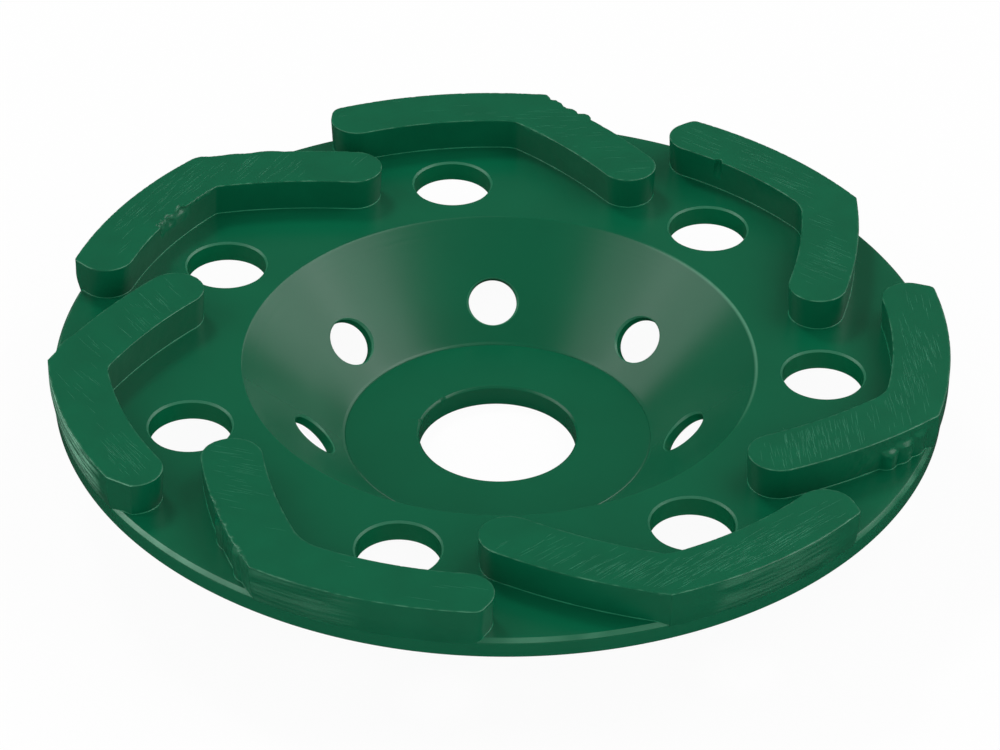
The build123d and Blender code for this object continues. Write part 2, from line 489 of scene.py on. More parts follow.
@dataclass
class Cup:
    """The turned cup: hub with its bore, cone and flange, with the holes through flange and cone."""

    rim_radius: float = 61.9
    mouth_radius: float = 35.9
    seat_radius: float = 21.7
    bore_radius: float = 11.115
    hub_thickness: float = 3.1
    flange_top: float = 16.1
    flange_thickness: float = 3.0
    cone_wall: float = 1.4
    hub_edge_radius: float = 1.2
    flange_root_radius: float = 2.0
    mouth_edge_radius: float = 0.25
    mouth_land: float = 0.3
    mouth_fall: float = 0.004
    seat_band: float = 0.24
    seat_groove: float = 0.07
    seat_steps: tuple[float, float, float] = (0.06, 0.12, 0.22)
    bore_break: float = 0.3
    rim_chamfer: float = 0.5
    rim_lower_chamfer: float = 0.3
    edge_round: float = 0.08
    groove_depth: float = 0.07
    groove_height: float = 0.22
    turning_reach: float = 3.4
    turning_pitch: float = 0.42
    turning_depth: float = 0.0025
    hole_count: int = 7
    window_radius: float = 5.675
    window_break: float = 0.28
    window_circle: float = 45.2
    window_phase: float = 99.3
    window_sides: int = 128
    vent_radius: float = 3.5
    vent_break: float = 0.14
    vent_height: float = 4.3
    vent_phase: float = 92.2
    vent_sides: int = 96
    # Bearing and depth of each nick, and how many degrees it reaches to either side
    bore_nicks: tuple[tuple[float, float], ...] = ((165.6, 0.3), (134.4, 0.22))
    nick_reach: float = 2.4
    # Middle and half width of the stretch of rim whose chamfer gets most of a painted highlight, in degrees
    rim_highlight_stretch: tuple[float, float] = (212.0, 34.0)
    # How much the rim's chamfer is painted paler all round for wear, how much that varies, and how much more in that
    # stretch as a painted highlight
    rim_wear_and_highlight: tuple[float, float, float] = (0.12, 0.1, 0.3)
    # How much the mouth's edge is painted paler as a painted highlight, and the bearing about which it is
    mouth_highlight: float = 0.35
    mouth_highlight_bearing: float = 15.0
    sides: int = 480
    longest_step: float = 1.1
    weld_reach: float = 0.004
    sharp_above: float = 32.0

    @property
    def cone_flare(self) -> float:
        """How far the cone widens for each millimetre of height."""
        return (self.mouth_radius - self.seat_radius) / (self.flange_top - self.hub_thickness)

    @property
    def cone_angle(self) -> float:
        """The cone's slant above the hub's floor, in radians."""
        return math.atan2(1.0, self.cone_flare)

    def outer_cone_radius(self, height: float) -> float:
        """Gives the radius of the cone's outer side at a height."""
        wall = self.cone_wall / math.sin(self.cone_angle)
        return self.seat_radius + (height - self.hub_thickness) * self.cone_flare + wall

    @staticmethod
    def rounded(corners: list[tuple[float, float, float]], longest: float) -> np.ndarray:
        """Rounds the corners of a closed outline.

        Args:
            corners: Radius from the axis, height and rounding of each corner, in order.
            longest: The longest step on a straight stretch.

        Returns:
            The outline's points, with arcs at the corners and even steps between them.
        """
        points = []
        count = len(corners)
        for number, (r, z, rounding) in enumerate(corners):
            here = np.array([r, z])
            before = np.array(corners[number - 1][:2]) - here
            after = np.array(corners[(number + 1) % count][:2]) - here
            before /= np.linalg.norm(before)
            after /= np.linalg.norm(after)
            opening = math.acos(float(np.clip(before @ after, -1, 1)))
            setback = rounding / math.tan(opening / 2)
            middle = before + after
            centre = here + middle / np.linalg.norm(middle) * rounding / math.sin(opening / 2)
            first, last = here + before * setback - centre, here + after * setback - centre
            start = math.atan2(first[1], first[0])
            sweep = (math.atan2(last[1], last[0]) - start + math.pi) % (2 * math.pi) - math.pi
            steps = max(2, round(abs(sweep) / math.radians(15)))
            turns = [start + sweep * k / steps for k in range(steps + 1)]
            arc = [centre + rounding * np.array([math.cos(turn), math.sin(turn)]) for turn in turns]
            if points:
                points += Cup.between(points[-1], arc[0], longest)
            points += arc
        return np.array(points + Cup.between(points[-1], points[0], longest))

    @staticmethod
    def between(start: np.ndarray, end: np.ndarray, longest: float) -> list[np.ndarray]:
        """Gives the points that cut the way from one point to another into even steps."""
        extra = int(np.linalg.norm(end - start) / longest)
        return [start + (end - start) * k / (extra + 1) for k in range(1, extra + 1)]

    def section(self) -> np.ndarray:
        """Draws half of the body's cross section.

        Returns:
            Radius and height of the closed outline's points, from the bore's lower edge outwards and back over the
            top.
        """
        under = self.flange_top - self.flange_thickness
        fine = self.edge_round
        chamfer_foot = self.flange_top - self.rim_chamfer
        groove_low = chamfer_foot - self.groove_height
        groove_start, groove_bottom, groove_end = (self.seat_radius - step for step in self.seat_steps)
        # Radius, height and rounding of each corner
        corners = [
            (self.bore_radius, 0.0, fine),
            (self.outer_cone_radius(0.0), 0.0, self.hub_edge_radius),
            (self.outer_cone_radius(under), under, self.flange_root_radius),
            (self.rim_radius - self.rim_lower_chamfer, under, fine),
            (self.rim_radius, under + self.rim_lower_chamfer, fine),
            (self.rim_radius, groove_low, 0.03),
            (self.rim_radius - self.groove_depth, groove_low + self.groove_height * 0.4, 0.02),
            (self.rim_radius, chamfer_foot, 0.05),
            (self.rim_radius - self.rim_chamfer, self.flange_top, fine),
            (self.mouth_radius + self.mouth_land, self.flange_top - self.mouth_fall, 0.01),
            (self.mouth_radius, self.flange_top, self.mouth_edge_radius),
            (self.seat_radius + self.seat_band * self.cone_flare, self.hub_thickness + self.seat_band, 0.05),
            (groove_start, self.hub_thickness + 0.03, 0.03),
            (groove_bottom, self.hub_thickness - self.seat_groove, 0.02),
            (groove_end, self.hub_thickness, 0.03),
            (self.bore_radius + self.bore_break, self.hub_thickness, fine),
            (self.bore_radius, self.hub_thickness - self.bore_break, fine),
        ]
        return self._turning_marks(self.rounded(corners, self.longest_step))

    def _turning_marks(self, outline: np.ndarray) -> np.ndarray:
        """Adds the faint rings that the lathe tool left on the cone below its mouth.

        Args:
            outline: The half section.

        Returns:
            The half section with the rings in place of the plain stretch of cone.
        """
        slant = np.array([self.cone_flare, 1.0]) / math.hypot(self.cone_flare, 1.0)
        inward = np.array([-slant[1], slant[0]])
        top = np.array([self.mouth_radius, self.flange_top]) - slant * self.mouth_edge_radius
        steps = int(self.turning_reach / (self.turning_pitch / 3))
        chatter = SmoothNoise(11, self.turning_pitch)
        rings = []
        for number in range(1, steps):
            down = self.turning_reach * number / steps
            fade = math.sin(math.pi * number / steps)
            bite = self.turning_depth * fade * float(chatter.along(np.array([down]))[0])
            rings.append(top - slant * down - inward * bite)
        off_cone = 1e-6
        on_cone = [k for k, point in enumerate(outline)
                   if abs((point - top) @ inward) < off_cone and 0 < (top - point) @ slant < self.turning_reach]
        kept = np.delete(outline, on_cone, axis=0)
        above = [k for k, point in enumerate(kept)
                 if abs((point - top) @ inward) < off_cone and (top - point) @ slant <= 0]
        at = (max(above) if above else on_cone[0] - 1) + 1
        return np.insert(kept, at, np.array(rings), axis=0)

    def turned_body(self, finish: bpy.types.Material) -> bpy.types.Object:
        """Spins the section round the axis.

        Args:
            finish: The material of the turned faces.

        Returns:
            The body without its holes.
        """
        outline = self.section()
        turns = np.arange(self.sides) * 2 * math.pi / self.sides
        rows = len(outline)
        points = np.empty((self.sides, rows, 3))
        points[:, :, 0] = outline[:, 0] * np.cos(turns)[:, None]
        points[:, :, 1] = outline[:, 0] * np.sin(turns)[:, None]
        points[:, :, 2] = outline[:, 1]
        self._nick_bore(points, outline, np.degrees(turns))
        here = np.arange(self.sides)[:, None] * rows + np.arange(rows)
        there = np.roll(here, -1, axis=0)
        faces = np.stack([here, there, np.roll(there, -1, axis=1), np.roll(here, -1, axis=1)], axis=-1)
        body = mesh_object("cup", points.reshape(-1, 3), faces.reshape(-1, 4).tolist(), finish)
        set_layer(body, "worn_and_highlit", self._wear_and_highlight_shares(outline, np.degrees(turns)))
        return body

    def _nick_bore(self, points: np.ndarray, outline: np.ndarray, bearings: np.ndarray) -> None:
        """Dents the bore's upper edge where something hard has knocked it.

        Args:
            points: The body's points, one row of the section for each turn. They are moved in place.
            outline: The half section.
            bearings: The turns in degrees.
        """
        nick_foot = self.hub_thickness - 2 * self.bore_break
        lip = np.clip((outline[:, 1] - nick_foot) / self.bore_break, 0, 1)
        lip *= outline[:, 0] < self.bore_radius + self.bore_break + 0.2
        for bearing, depth in self.bore_nicks:
            near = np.clip(1 - np.abs(bearings - bearing) / self.nick_reach, 0, 1)
            push = near[:, None] * lip[None, :] * depth
            points[:, :, 0] += push * np.cos(np.radians(bearings))[:, None]
            points[:, :, 1] += push * np.sin(np.radians(bearings))[:, None]
            points[:, :, 2] -= push / 2

    def _wear_and_highlight_shares(self, outline: np.ndarray, bearings: np.ndarray) -> np.ndarray:
        """Gives how much the coat is painted paler along the rim's upper chamfer and the cone's mouth: wear all round
        the chamfer, a painted highlight on one stretch of it, and a painted highlight on one side of the mouth's edge.

        Args:
            outline: The half section.
            bearings: The turns in degrees.

        Returns:
            A share for each point, one row of the section for each turn.
        """
        beyond_flat = outline[:, 0] > self.rim_radius - self.rim_chamfer + 0.01
        above_groove = outline[:, 1] > self.flange_top - self.rim_chamfer - 0.06
        chamfer = beyond_flat & above_groove
        middle, half = self.rim_highlight_stretch
        # Share of the stretch of chamfer that gets the painted highlight
        most = np.clip(1 - np.abs(bearings - middle) / half, 0, 1) ** 0.5
        everywhere, varying, highlight_in_stretch = self.rim_wear_and_highlight
        chamfer_wear_and_highlight = SmoothNoise(21, 2.2).along(bearings) * varying + everywhere + highlight_in_stretch * most
        mouth_edge = np.array([self.mouth_radius, self.flange_top])
        mouth = np.linalg.norm(outline - mouth_edge, axis=1) < self.mouth_edge_radius * 0.56
        # The mouth's edge is painted paler only on the side about its bearing: a painted highlight
        # From about 40 degrees off its bearing this is 0
        mouth_highlight_share = np.clip(np.cos(np.radians(bearings - self.mouth_highlight_bearing)) * 4 - 3, 0, 1) * self.mouth_highlight
        return np.clip(chamfer_wear_and_highlight, 0, 1)[:, None] * chamfer[None, :] + mouth_highlight_share[:, None] * mouth[None, :]

    def drill(self, body: bpy.types.Object, finishes: Finishes) -> bpy.types.Object:
        """Cuts the rings of windows and vents with a geometry tree and bakes the result.

        Args:
            body: The turned body.
            finishes: The shared finishes, of which the holes' walls and mouths take theirs.

        Returns:
            The same object with the holes cut.
        """
        sizes = {
            "Hole count": self.hole_count,
            "Window radius": self.window_radius * MM,
            "Window circle": self.window_circle * MM,
            "Window phase": math.radians(self.window_phase),
            "Vent radius": self.vent_radius * MM,
            "Vent phase": math.radians(self.vent_phase),
        }
        tree, given = geometry_tree("ring_of_holes", "Body", sizes, "Drilled")
        cutters = [
            (self._window_cutter(tree, given), "Window phase", finishes.drilled),
            (self._window_mouth(tree, given), "Window phase", finishes.mouth),
            (self._vent_cutter(tree, given), "Vent phase", finishes.drilled),
            (self._vent_mouth(tree, given), "Vent phase", finishes.mouth),
        ]
        result = given["Body"]
        for single, phase, finish in cutters:
            cutter = self._ring(tree, given, single, phase)
            painted = add_node(tree, "GeometryNodeSetMaterial", {"Material": finish}, {"Geometry": cutter})
            cut = add_node(
                tree,
                "GeometryNodeMeshBoolean",
                {"operation": "DIFFERENCE", "solver": "EXACT"},
                {0: result, 1: painted.outputs["Geometry"]},
            )
            welded = add_node(
                tree,
                "GeometryNodeMergeByDistance",
                {"Distance": self.weld_reach * MM},
                {"Geometry": cut.outputs["Mesh"]},
            )
            result = welded.outputs["Geometry"]
        add_node(tree, "NodeGroupOutput", links={"Drilled": result})
        return bake(body, tree, sizes)

    @staticmethod
    def _ring(
        tree: bpy.types.NodeTree, given: bpy.types.NodeOutputs, cutter: bpy.types.NodeSocket, phase: str
    ) -> bpy.types.NodeSocket:
        """Repeats a cutter evenly round the axis, as real geometry.

        Args:
            tree: The tree of the ring of holes.
            given: The tree's inputs.
            cutter: The cutter at a bearing of 0.
            phase: The name of the input with the first copy's bearing.

        Returns:
            All the copies.
        """
        points = add_node(tree, "GeometryNodePoints", links={"Count": given["Hole count"]})
        index = add_node(tree, "GeometryNodeInputIndex").outputs[0]
        step = add_node(tree, "ShaderNodeMath", {"operation": "DIVIDE", 0: 2 * math.pi}, {1: given["Hole count"]})
        turn = add_node(
            tree,
            "ShaderNodeMath",
            {"operation": "MULTIPLY_ADD"},
            {0: index, 1: step.outputs[0], 2: given[phase]},
        )
        rotation = add_node(tree, "ShaderNodeCombineXYZ", links={"Z": turn.outputs[0]})
        copies = add_node(
            tree,
            "GeometryNodeInstanceOnPoints",
            links={"Points": points.outputs[0], "Instance": cutter, "Rotation": rotation.outputs[0]},
        )
        return add_node(tree, "GeometryNodeRealizeInstances", links={0: copies.outputs[0]}).outputs[0]

    def _window_cutter(self, tree: bpy.types.NodeTree, given: bpy.types.NodeOutputs) -> bpy.types.NodeSocket:
        """Makes the straight drill for one window through the flange.

        Args:
            tree: The tree of the ring of holes.
            given: The tree's inputs.

        Returns:
            The drill in place at a bearing of 0.
        """
        through = 1.0
        drill = add_node(
            tree,
            "GeometryNodeMeshCylinder",
            {"Vertices": self.window_sides, "Depth": (self.flange_thickness + 2 * through) * MM},
            {"Radius": given["Window radius"]},
        )
        middle = self.flange_top - self.flange_thickness / 2
        return self._on_flange(tree, given, drill.outputs["Mesh"], middle)

    def _window_mouth(self, tree: bpy.types.NodeTree, given: bpy.types.NodeOutputs) -> bpy.types.NodeSocket:
        """Makes the countersink that breaks one window's upper edge.

        Args:
            tree: The tree of the ring of holes.
            given: The tree's inputs.

        Returns:
            The countersink in place at a bearing of 0.
        """
        over = 0.1
        depth = self.window_break + 2 * over
        wider = self.window_break + over
        sink = self._countersink(tree, given["Window radius"], wider, -over, depth, self.window_sides)
        return self._on_flange(tree, given, sink, self.flange_top + over - depth)

    @staticmethod
    def _countersink(
        tree: bpy.types.NodeTree, radius: bpy.types.NodeSocket, top: float, bottom: float, depth: float, sides: int
    ) -> bpy.types.NodeSocket:
        """Makes a cone that stands on the origin with its wide end up.

        Args:
            tree: The tree of the ring of holes.
            radius: The hole's radius.
            top: How much wider the cone is at its top.
            bottom: How much wider it is at its bottom.
            depth: Its depth.
            sides: Its number of sides.

        Returns:
            The cone.
        """
        ends = [
            add_node(tree, "ShaderNodeMath", {"operation": "ADD", 1: wider * MM}, {0: radius}).outputs[0]
            for wider in (top, bottom)
        ]
        sizes = {"Vertices": sides, "Depth": depth * MM}
        radii = {"Radius Top": ends[0], "Radius Bottom": ends[1]}
        return add_node(tree, "GeometryNodeMeshCone", sizes, radii).outputs["Mesh"]

    @staticmethod
    def _on_flange(
        tree: bpy.types.NodeTree, given: bpy.types.NodeOutputs, shape: bpy.types.NodeSocket, height: float
    ) -> bpy.types.NodeSocket:
        """Moves a cutter out to the windows' circle and up to a height."""
        spot = add_node(tree, "ShaderNodeCombineXYZ", {"Z": height * MM}, {"X": given["Window circle"]})
        return add_node(tree, "GeometryNodeTransform", links={0: shape, "Translation": spot.outputs[0]}).outputs[0]

    def _vent_cutter(self, tree: bpy.types.NodeTree, given: bpy.types.NodeOutputs) -> bpy.types.NodeSocket:
        """Makes the drill for one vent, square to the cone.

        Args:
            tree: The tree of the ring of holes.
            given: The tree's inputs.

        Returns:
            The drill in place at a bearing of 0.
        """
        drill = add_node(
            tree,
            "GeometryNodeMeshCylinder",
            {"Vertices": self.vent_sides, "Depth": 2 * (self.cone_wall + self.vent_radius) * MM},
            {"Radius": given["Vent radius"]},
        )
        return self._on_cone(tree, drill.outputs["Mesh"], 0.0)

    def _vent_mouth(self, tree: bpy.types.NodeTree, given: bpy.types.NodeOutputs) -> bpy.types.NodeSocket:
        """Makes the shallow countersink that breaks one vent's inner edge.

        Args:
            tree: The tree of the ring of holes.
            given: The tree's inputs.

        Returns:
            The countersink in place at a bearing of 0.
        """
        over = 0.15
        sink = self._countersink(tree, given["Vent radius"], 3 * over, -over, 4 * over, self.vent_sides)
        return self._on_cone(tree, sink, -self.vent_break - over)

    def _on_cone(self, tree: bpy.types.NodeTree, shape: bpy.types.NodeSocket, lift: float) -> bpy.types.NodeSocket:
        """Tilts a cutter square to the cone and sets it at the vents' height.

        Args:
            tree: The tree of the ring of holes.
            shape: The cutter, upright at the origin.
            lift: How far it is lifted along its own axis.

        Returns:
            The cutter in place.
        """
        angle = self.cone_angle
        out = self.seat_radius + self.vent_height * self.cone_flare
        up = self.hub_thickness + self.vent_height
        spot = (
            (out - lift * math.sin(angle)) * MM,
            0.0,
            (up + lift * math.cos(angle)) * MM,
        )
        settings = {"Translation": spot, "Rotation": (0.0, -angle, 0.0)}
        return add_node(tree, "GeometryNodeTransform", settings, {0: shape}).outputs[0]

    def build(self, finishes: Finishes) -> bpy.types.Object:
        """Makes the whole cup, with its finishes, and hangs it on the frame.

        Args:
            finishes: The shared finishes.

        Returns:
            The cup.
        """
        body = self.turned_body(finishes.turned)
        body = self.drill(body, finishes)
        body.data.set_sharp_from_angle(angle=math.radians(self.sharp_above))
        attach(body, BODY)
        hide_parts("cup_body")
        body.data.calc_loop_triangles()
        log.info("cup: %d triangles", len(body.data.loop_triangles))
        return body


class Side(Enum):
    """The stretches of a segment's outline, in the order in which it is drawn."""

    ARM_OUTER = "arm_outer"
    ARM_END = "arm_end"
    ARM_INNER = "arm_inner"
    INNER_CORNER = "inner_corner"
    LEG_INNER = "leg_inner"
    LEG_TIP = "leg_tip"
    LEG_OUTER = "leg_outer"


@dataclass(frozen=True)
class Lump:
    """Pressing flash on the leg's outer side. All in millimetres, but height is a share of the side's."""

    distance: float
    radius: float
    proud: float
    height: float = 1.0


@dataclass(frozen=True)
class Crumble:
    """A stretch of edge where grit has broken out: where it runs, its depth, how far down and how much of it."""

    side: Side
    start: float
    end: float
    depth: float = 0.5
    reach: float = 0.8
    pitch: float = 0.6
    cover: float = 0.35
    seed: int = 1


@dataclass(frozen=True)
class Patch:
    """A patch of scratches on a top face: its middle and reach in the drawing, and its share of scratches."""

    x: float
    y: float
    reach_x: float
    reach_y: float
    share: float


@dataclass(frozen=True)
class Skin:
    """A segment's closed skin in the drawing's place, with what its finish, braze and scratches go by.

    At each point it says how much the coat is painted paler, partly for wear and partly as painted highlights, how
    strong the grinding lines are, how many scratches start there, and its place on the wall's strip.
    of its points belongs to the ground outer face.
    """

    points: np.ndarray
    faces: list
    worn_and_highlit: np.ndarray
    ground: np.ndarray
    scratched: np.ndarray
    strip: np.ndarray
    foot: np.ndarray
    foot_outer: np.ndarray


@dataclass
class Segment:
    """One bent segment: an arm along the wheel's edge, a sharp corner and a bowed leg that turns inwards."""

    number: int
    inner_corner_radius: float = 3.0
    lumps: tuple[Lump, ...] = ()
    crumbles: tuple[Crumble, ...] = ()
    # Distance along the arm's inner side, and radius
    notch: tuple[float, float] | None = None
    # Length of the break along the arm's outer side, and across its end
    broken_end: tuple[float, float] | None = None
    flank_roughness: float = 0.0
    # Where the grinding lines on the arm's outer face begin and end, and how strong they are
    ground: tuple[float, float, float] = (0.0, 30.0, 0.35)
    ground_everywhere: float = 0.12
    # How strongly the ground outer face is painted paler in streaks: partly wear, partly a painted sheen where that
    # face mirrors the lamps
    outer_face_wear_and_sheen: float = 0.0
    patches: tuple[Patch, ...] = ()
    scratch_share: float = 0.1
    stray_share: float = 0.3
    scratch_lean: float = 12.0
    # No scratch starts this near to the edge, so that no ridge hangs over it, and the first few lie thin
    scratch_margin: tuple[float, float] = (0.9, 0.8)
    wheel_radius: float = 62.5
    base: float = 16.1
    height: float = 4.88
    arm_width: float = 8.0
    arm_sweep: float = 26.4
    arm_end_radius: float = 1.0
    leg_width: float = 8.3
    leg_turn: float = 32.0
    leg_sweep: float = 17.8
    leg_bow_radius: float = 78.0
    phase: float = 136.8
    count: int = 7
    step: float = 0.17
    break_steps: int = 20
    grid: float = 0.21
    rows: int = 24
    sharp_above: float = 48.0
    wall_uneven: float = 0.02
    wall_grit: float = 0.006
    top_swell: float = 0.012
    top_ripple: float = 0.0012
    # The top is level along its edge, and its unevenness comes in over this
    level_edge: float = 1.2
    edge_round: float = 0.1
    edge_clearance: float = 0.01
    # Small chips all along the top edge: where the noise passes the first, they are this deep and reach this far down
    edge_chips: tuple[float, float, float] = (0.25, 0.07, 0.3)
    # Along the rounded top edge: the share of its inset, the share of its drop, and how much the coat is painted paler
    # there, partly for wear and partly as a painted highlight along the edge
    edge_rings: tuple[tuple[float, float, float], ...] = ((0.3, 0.42, 0.2), (0.62, 0.12, 0.3), (1.0, 0.0, 0.1))
    # How deep an edge must have crumbled to look rubbed, how much it is, and how much of the depth it sinks by
    crumb_least: float = 0.1
    crumb_wear: float = 0.12
    crumb_sink: float = 0.22
    # How much of the coarse and of the ragged noise goes into a crumbled edge
    bite_mix: tuple[float, float] = (0.65, 0.45)
    # Shares of the height: a low lump ends over the first, and a notch starts at the second and deepens over the third
    lump_fade: float = 0.12
    notch_rise: tuple[float, float] = (0.35, 0.4)
    # How far in from the wheel's edge a point still counts to the ground outer face, and over how much it fades
    outer_band: tuple[float, float] = (0.9, 0.7)
    draft: float = 0.28
    draft_power: float = 1.3
    skirt_power: float = 1.5
    skirt_drop: float = 0.8
    skirt_inset: float = 0.6
    skirt_height: float = 2.4

    @property
    def turn(self) -> float:
        """The angle from the drawing, corner up on +Y, to the segment's place, in degrees."""
        return self.phase - 90 - (self.number - 1) * 360 / self.count

    @property
    def arm_inner_radius(self) -> float:
        """Radius of the arm's inner side."""
        return self.wheel_radius - self.arm_width

    @property
    def leg_inner_radius(self) -> float:
        """Radius of the leg's inner side about the bow's centre."""
        return self.leg_bow_radius - self.leg_width

    def _arc(self, centre: tuple[float, float], radius: float, start: float, end: float) -> np.ndarray:
        """Samples an arc from one bearing to another, in degrees."""
        steps = max(3, round(abs(math.radians(end - start)) * radius / self.step))
        return np.array([polar(radius, start + (end - start) * k / steps, centre) for k in range(steps + 1)])

    def outline(self) -> tuple[np.ndarray, np.ndarray, list[Side], np.ndarray]:
        """Draws the segment seen from above with its corner up, anticlockwise.

        Returns:
            Points, outward normals, the side that each point is on, and its distance along that side, counted
            from the outer corner on the arm and the leg.
        """
        corner = np.array([0.0, self.wheel_radius])
        bow_bearing = 90 - self.leg_turn
        bow = polar(-self.leg_bow_radius, bow_bearing, tuple(corner))
        tip_bearing = bow_bearing - self.leg_sweep
        end_centre = polar(self.wheel_radius - self.arm_width / 2, 90 + self.arm_sweep)
        flank_x = end_centre[0] - self.arm_width / 2
        pieces: list[tuple[Side, np.ndarray]] = []
        if self.broken_end:
            along_side, along_end = self.broken_end
            sharp = 180 - math.degrees(math.acos(-flank_x / self.wheel_radius))
            last = sharp - math.degrees(along_side / self.wheel_radius)
            outer = self._arc((0, 0), self.wheel_radius, 90, last)
            foot = np.array([flank_x, self.wheel_radius * math.sin(math.radians(sharp)) - along_end])
            break_line = outer[-1] + (foot - outer[-1]) * np.linspace(0, 1, self.break_steps)[1:, None]
            flank_top = break_line[-1]
        else:
            centre_x = flank_x + self.arm_end_radius
            centre_y = math.sqrt((self.wheel_radius - self.arm_end_radius) ** 2 - centre_x ** 2)
            last = math.degrees(math.atan2(centre_y, centre_x))
            outer = self._arc((0, 0), self.wheel_radius, 90, last)
            break_line = self._arc((centre_x, centre_y), self.arm_end_radius, last, 180)[1:]
            flank_top = break_line[-1]
        pieces.append((Side.ARM_OUTER, outer))
        flank_steps = max(2, round((flank_top[1] - end_centre[1]) / self.step))
        flank = flank_top + (np.array([flank_x, end_centre[1]]) - flank_top) * np.linspace(0, 1, flank_steps)[1:, None]
        round_end = self._arc(tuple(end_centre), self.arm_width / 2, 180, 270 + self.arm_sweep)[1:]
        pieces.append((Side.ARM_END, np.vstack([break_line, flank, round_end])))
        first, centre, second = self._inner_corner(bow)
        start = math.degrees(math.atan2(first[1], first[0]))
        pieces.append((Side.ARM_INNER, self._arc((0, 0), self.arm_inner_radius, 90 + self.arm_sweep, start)[1:]))
        bearing_in = math.degrees(math.atan2(*(first - centre)[::-1]))
        bearing_out = math.degrees(math.atan2(*(second - centre)[::-1]))
        fillet = self._arc(tuple(centre), self.inner_corner_radius, bearing_in, bearing_out)
        pieces.append((Side.INNER_CORNER, fillet[1:]))
        leg_start = math.degrees(math.atan2(*(second - bow)[::-1]))
        pieces.append((Side.LEG_INNER, self._arc(tuple(bow), self.leg_inner_radius, leg_start, tip_bearing)[1:]))
        tip_centre = polar(self.leg_bow_radius - self.leg_width / 2, tip_bearing, tuple(bow))
        tip = self._arc(tuple(tip_centre), self.leg_width / 2, tip_bearing + 180, tip_bearing + 360)
        pieces.append((Side.LEG_TIP, tip[1:]))
        pieces.append((Side.LEG_OUTER, self._arc(tuple(bow), self.leg_bow_radius, tip_bearing, bow_bearing)[1:-1]))
        points = np.vstack([stretch for _, stretch in pieces])
        sides = [side for side, stretch in pieces for _ in stretch]
        ahead = np.roll(points, -1, axis=0) - points
        ahead /= np.maximum(np.linalg.norm(ahead, axis=1, keepdims=True), 1e-9)
        behind = np.roll(ahead, 1, axis=0)
        tangent = ahead + behind
        tangent /= np.linalg.norm(tangent, axis=1, keepdims=True)
        normals = np.column_stack([tangent[:, 1], -tangent[:, 0]])
        along = self._distances(points, sides, bow, bow_bearing)
        return points, normals, sides, along

    def _inner_corner(self, bow: np.ndarray) -> tuple[np.ndarray, np.ndarray, np.ndarray]:
        """Finds the inner corner's fillet.

        Args:
            bow: The centre of the leg's bow.

        Returns:
            Where the fillet leaves the arm, its centre, and where it meets the leg.
        """
        near = self.arm_inner_radius - self.inner_corner_radius
        far = self.leg_inner_radius - self.inner_corner_radius
        apart = float(np.linalg.norm(bow))
        along = (near ** 2 - far ** 2 + apart ** 2) / (2 * apart)
        bearing = math.degrees(math.atan2(bow[1], bow[0]))
        half = math.degrees(math.acos(along / near))
        centre = polar(near, bearing - half)
        first = centre / np.linalg.norm(centre) * self.arm_inner_radius
        second = bow + (centre - bow) / np.linalg.norm(centre - bow) * self.leg_inner_radius
        return first, centre, second

    def _distances(self, points: np.ndarray, sides: list[Side], bow: np.ndarray, bow_bearing: float) -> np.ndarray:
        """Measures along the sides from the outer corner: on the arm about the axis, on the leg about its bow.

        Args:
            points: The outline.
            sides: The side of each of its points.
            bow: The centre of the leg's bow.
            bow_bearing: The corner's bearing from there, in degrees.

        Returns:
            Each point's distance.
        """
        about_axis = np.degrees(np.arctan2(points[:, 1], points[:, 0])) - 90
        about_bow = bow_bearing - np.degrees(np.arctan2(points[:, 1] - bow[1], points[:, 0] - bow[0]))
        radius_by_side = {
            Side.ARM_OUTER: self.wheel_radius,
            Side.ARM_END: self.wheel_radius,
            Side.ARM_INNER: self.arm_inner_radius,
        }
        along = np.empty(len(points))
        for k, side in enumerate(sides):
            if side in radius_by_side:
                along[k] = math.radians(about_axis[k]) * radius_by_side[side]
            else:
                along[k] = math.radians(about_bow[k]) * self.leg_bow_radius
        return along

    def _proud(self, sides: list[Side], along: np.ndarray, rise: np.ndarray) -> np.ndarray:
        """Gives how far the wall stands out of its outline.

        Args:
            sides: The side of each outline point.
            along: Its distance along that side.
            rise: Heights as shares of the side, one for each row.

        Returns:
            One row of offsets for each height, outwards positive.
        """
        out = np.zeros((len(rise), len(along)))
        on_leg = np.array([side is Side.LEG_OUTER for side in sides])
        for lump in self.lumps:
            run = np.clip(lump.radius ** 2 - (along - lump.distance) ** 2, 0, None)
            swell = np.where(on_leg, np.clip(np.sqrt(run) - lump.radius + lump.proud, 0, None), 0)
            fade = np.ones(len(rise))
            if lump.height < 1:
                fade = np.clip((lump.height - rise) / self.lump_fade + 0.5, 0, 1)
            out = np.maximum(out, swell[None, :] * fade[:, None])
        if self.notch:
            where, radius = self.notch
            on_arm = np.array([side is Side.ARM_INNER for side in sides])
            run = np.clip(radius ** 2 - (along - where) ** 2, 0, None)
            foot, climb = self.notch_rise
            out -= np.where(on_arm, np.sqrt(run), 0)[None, :] * np.clip((rise - foot) / climb, 0, 1)[:, None]
        return out

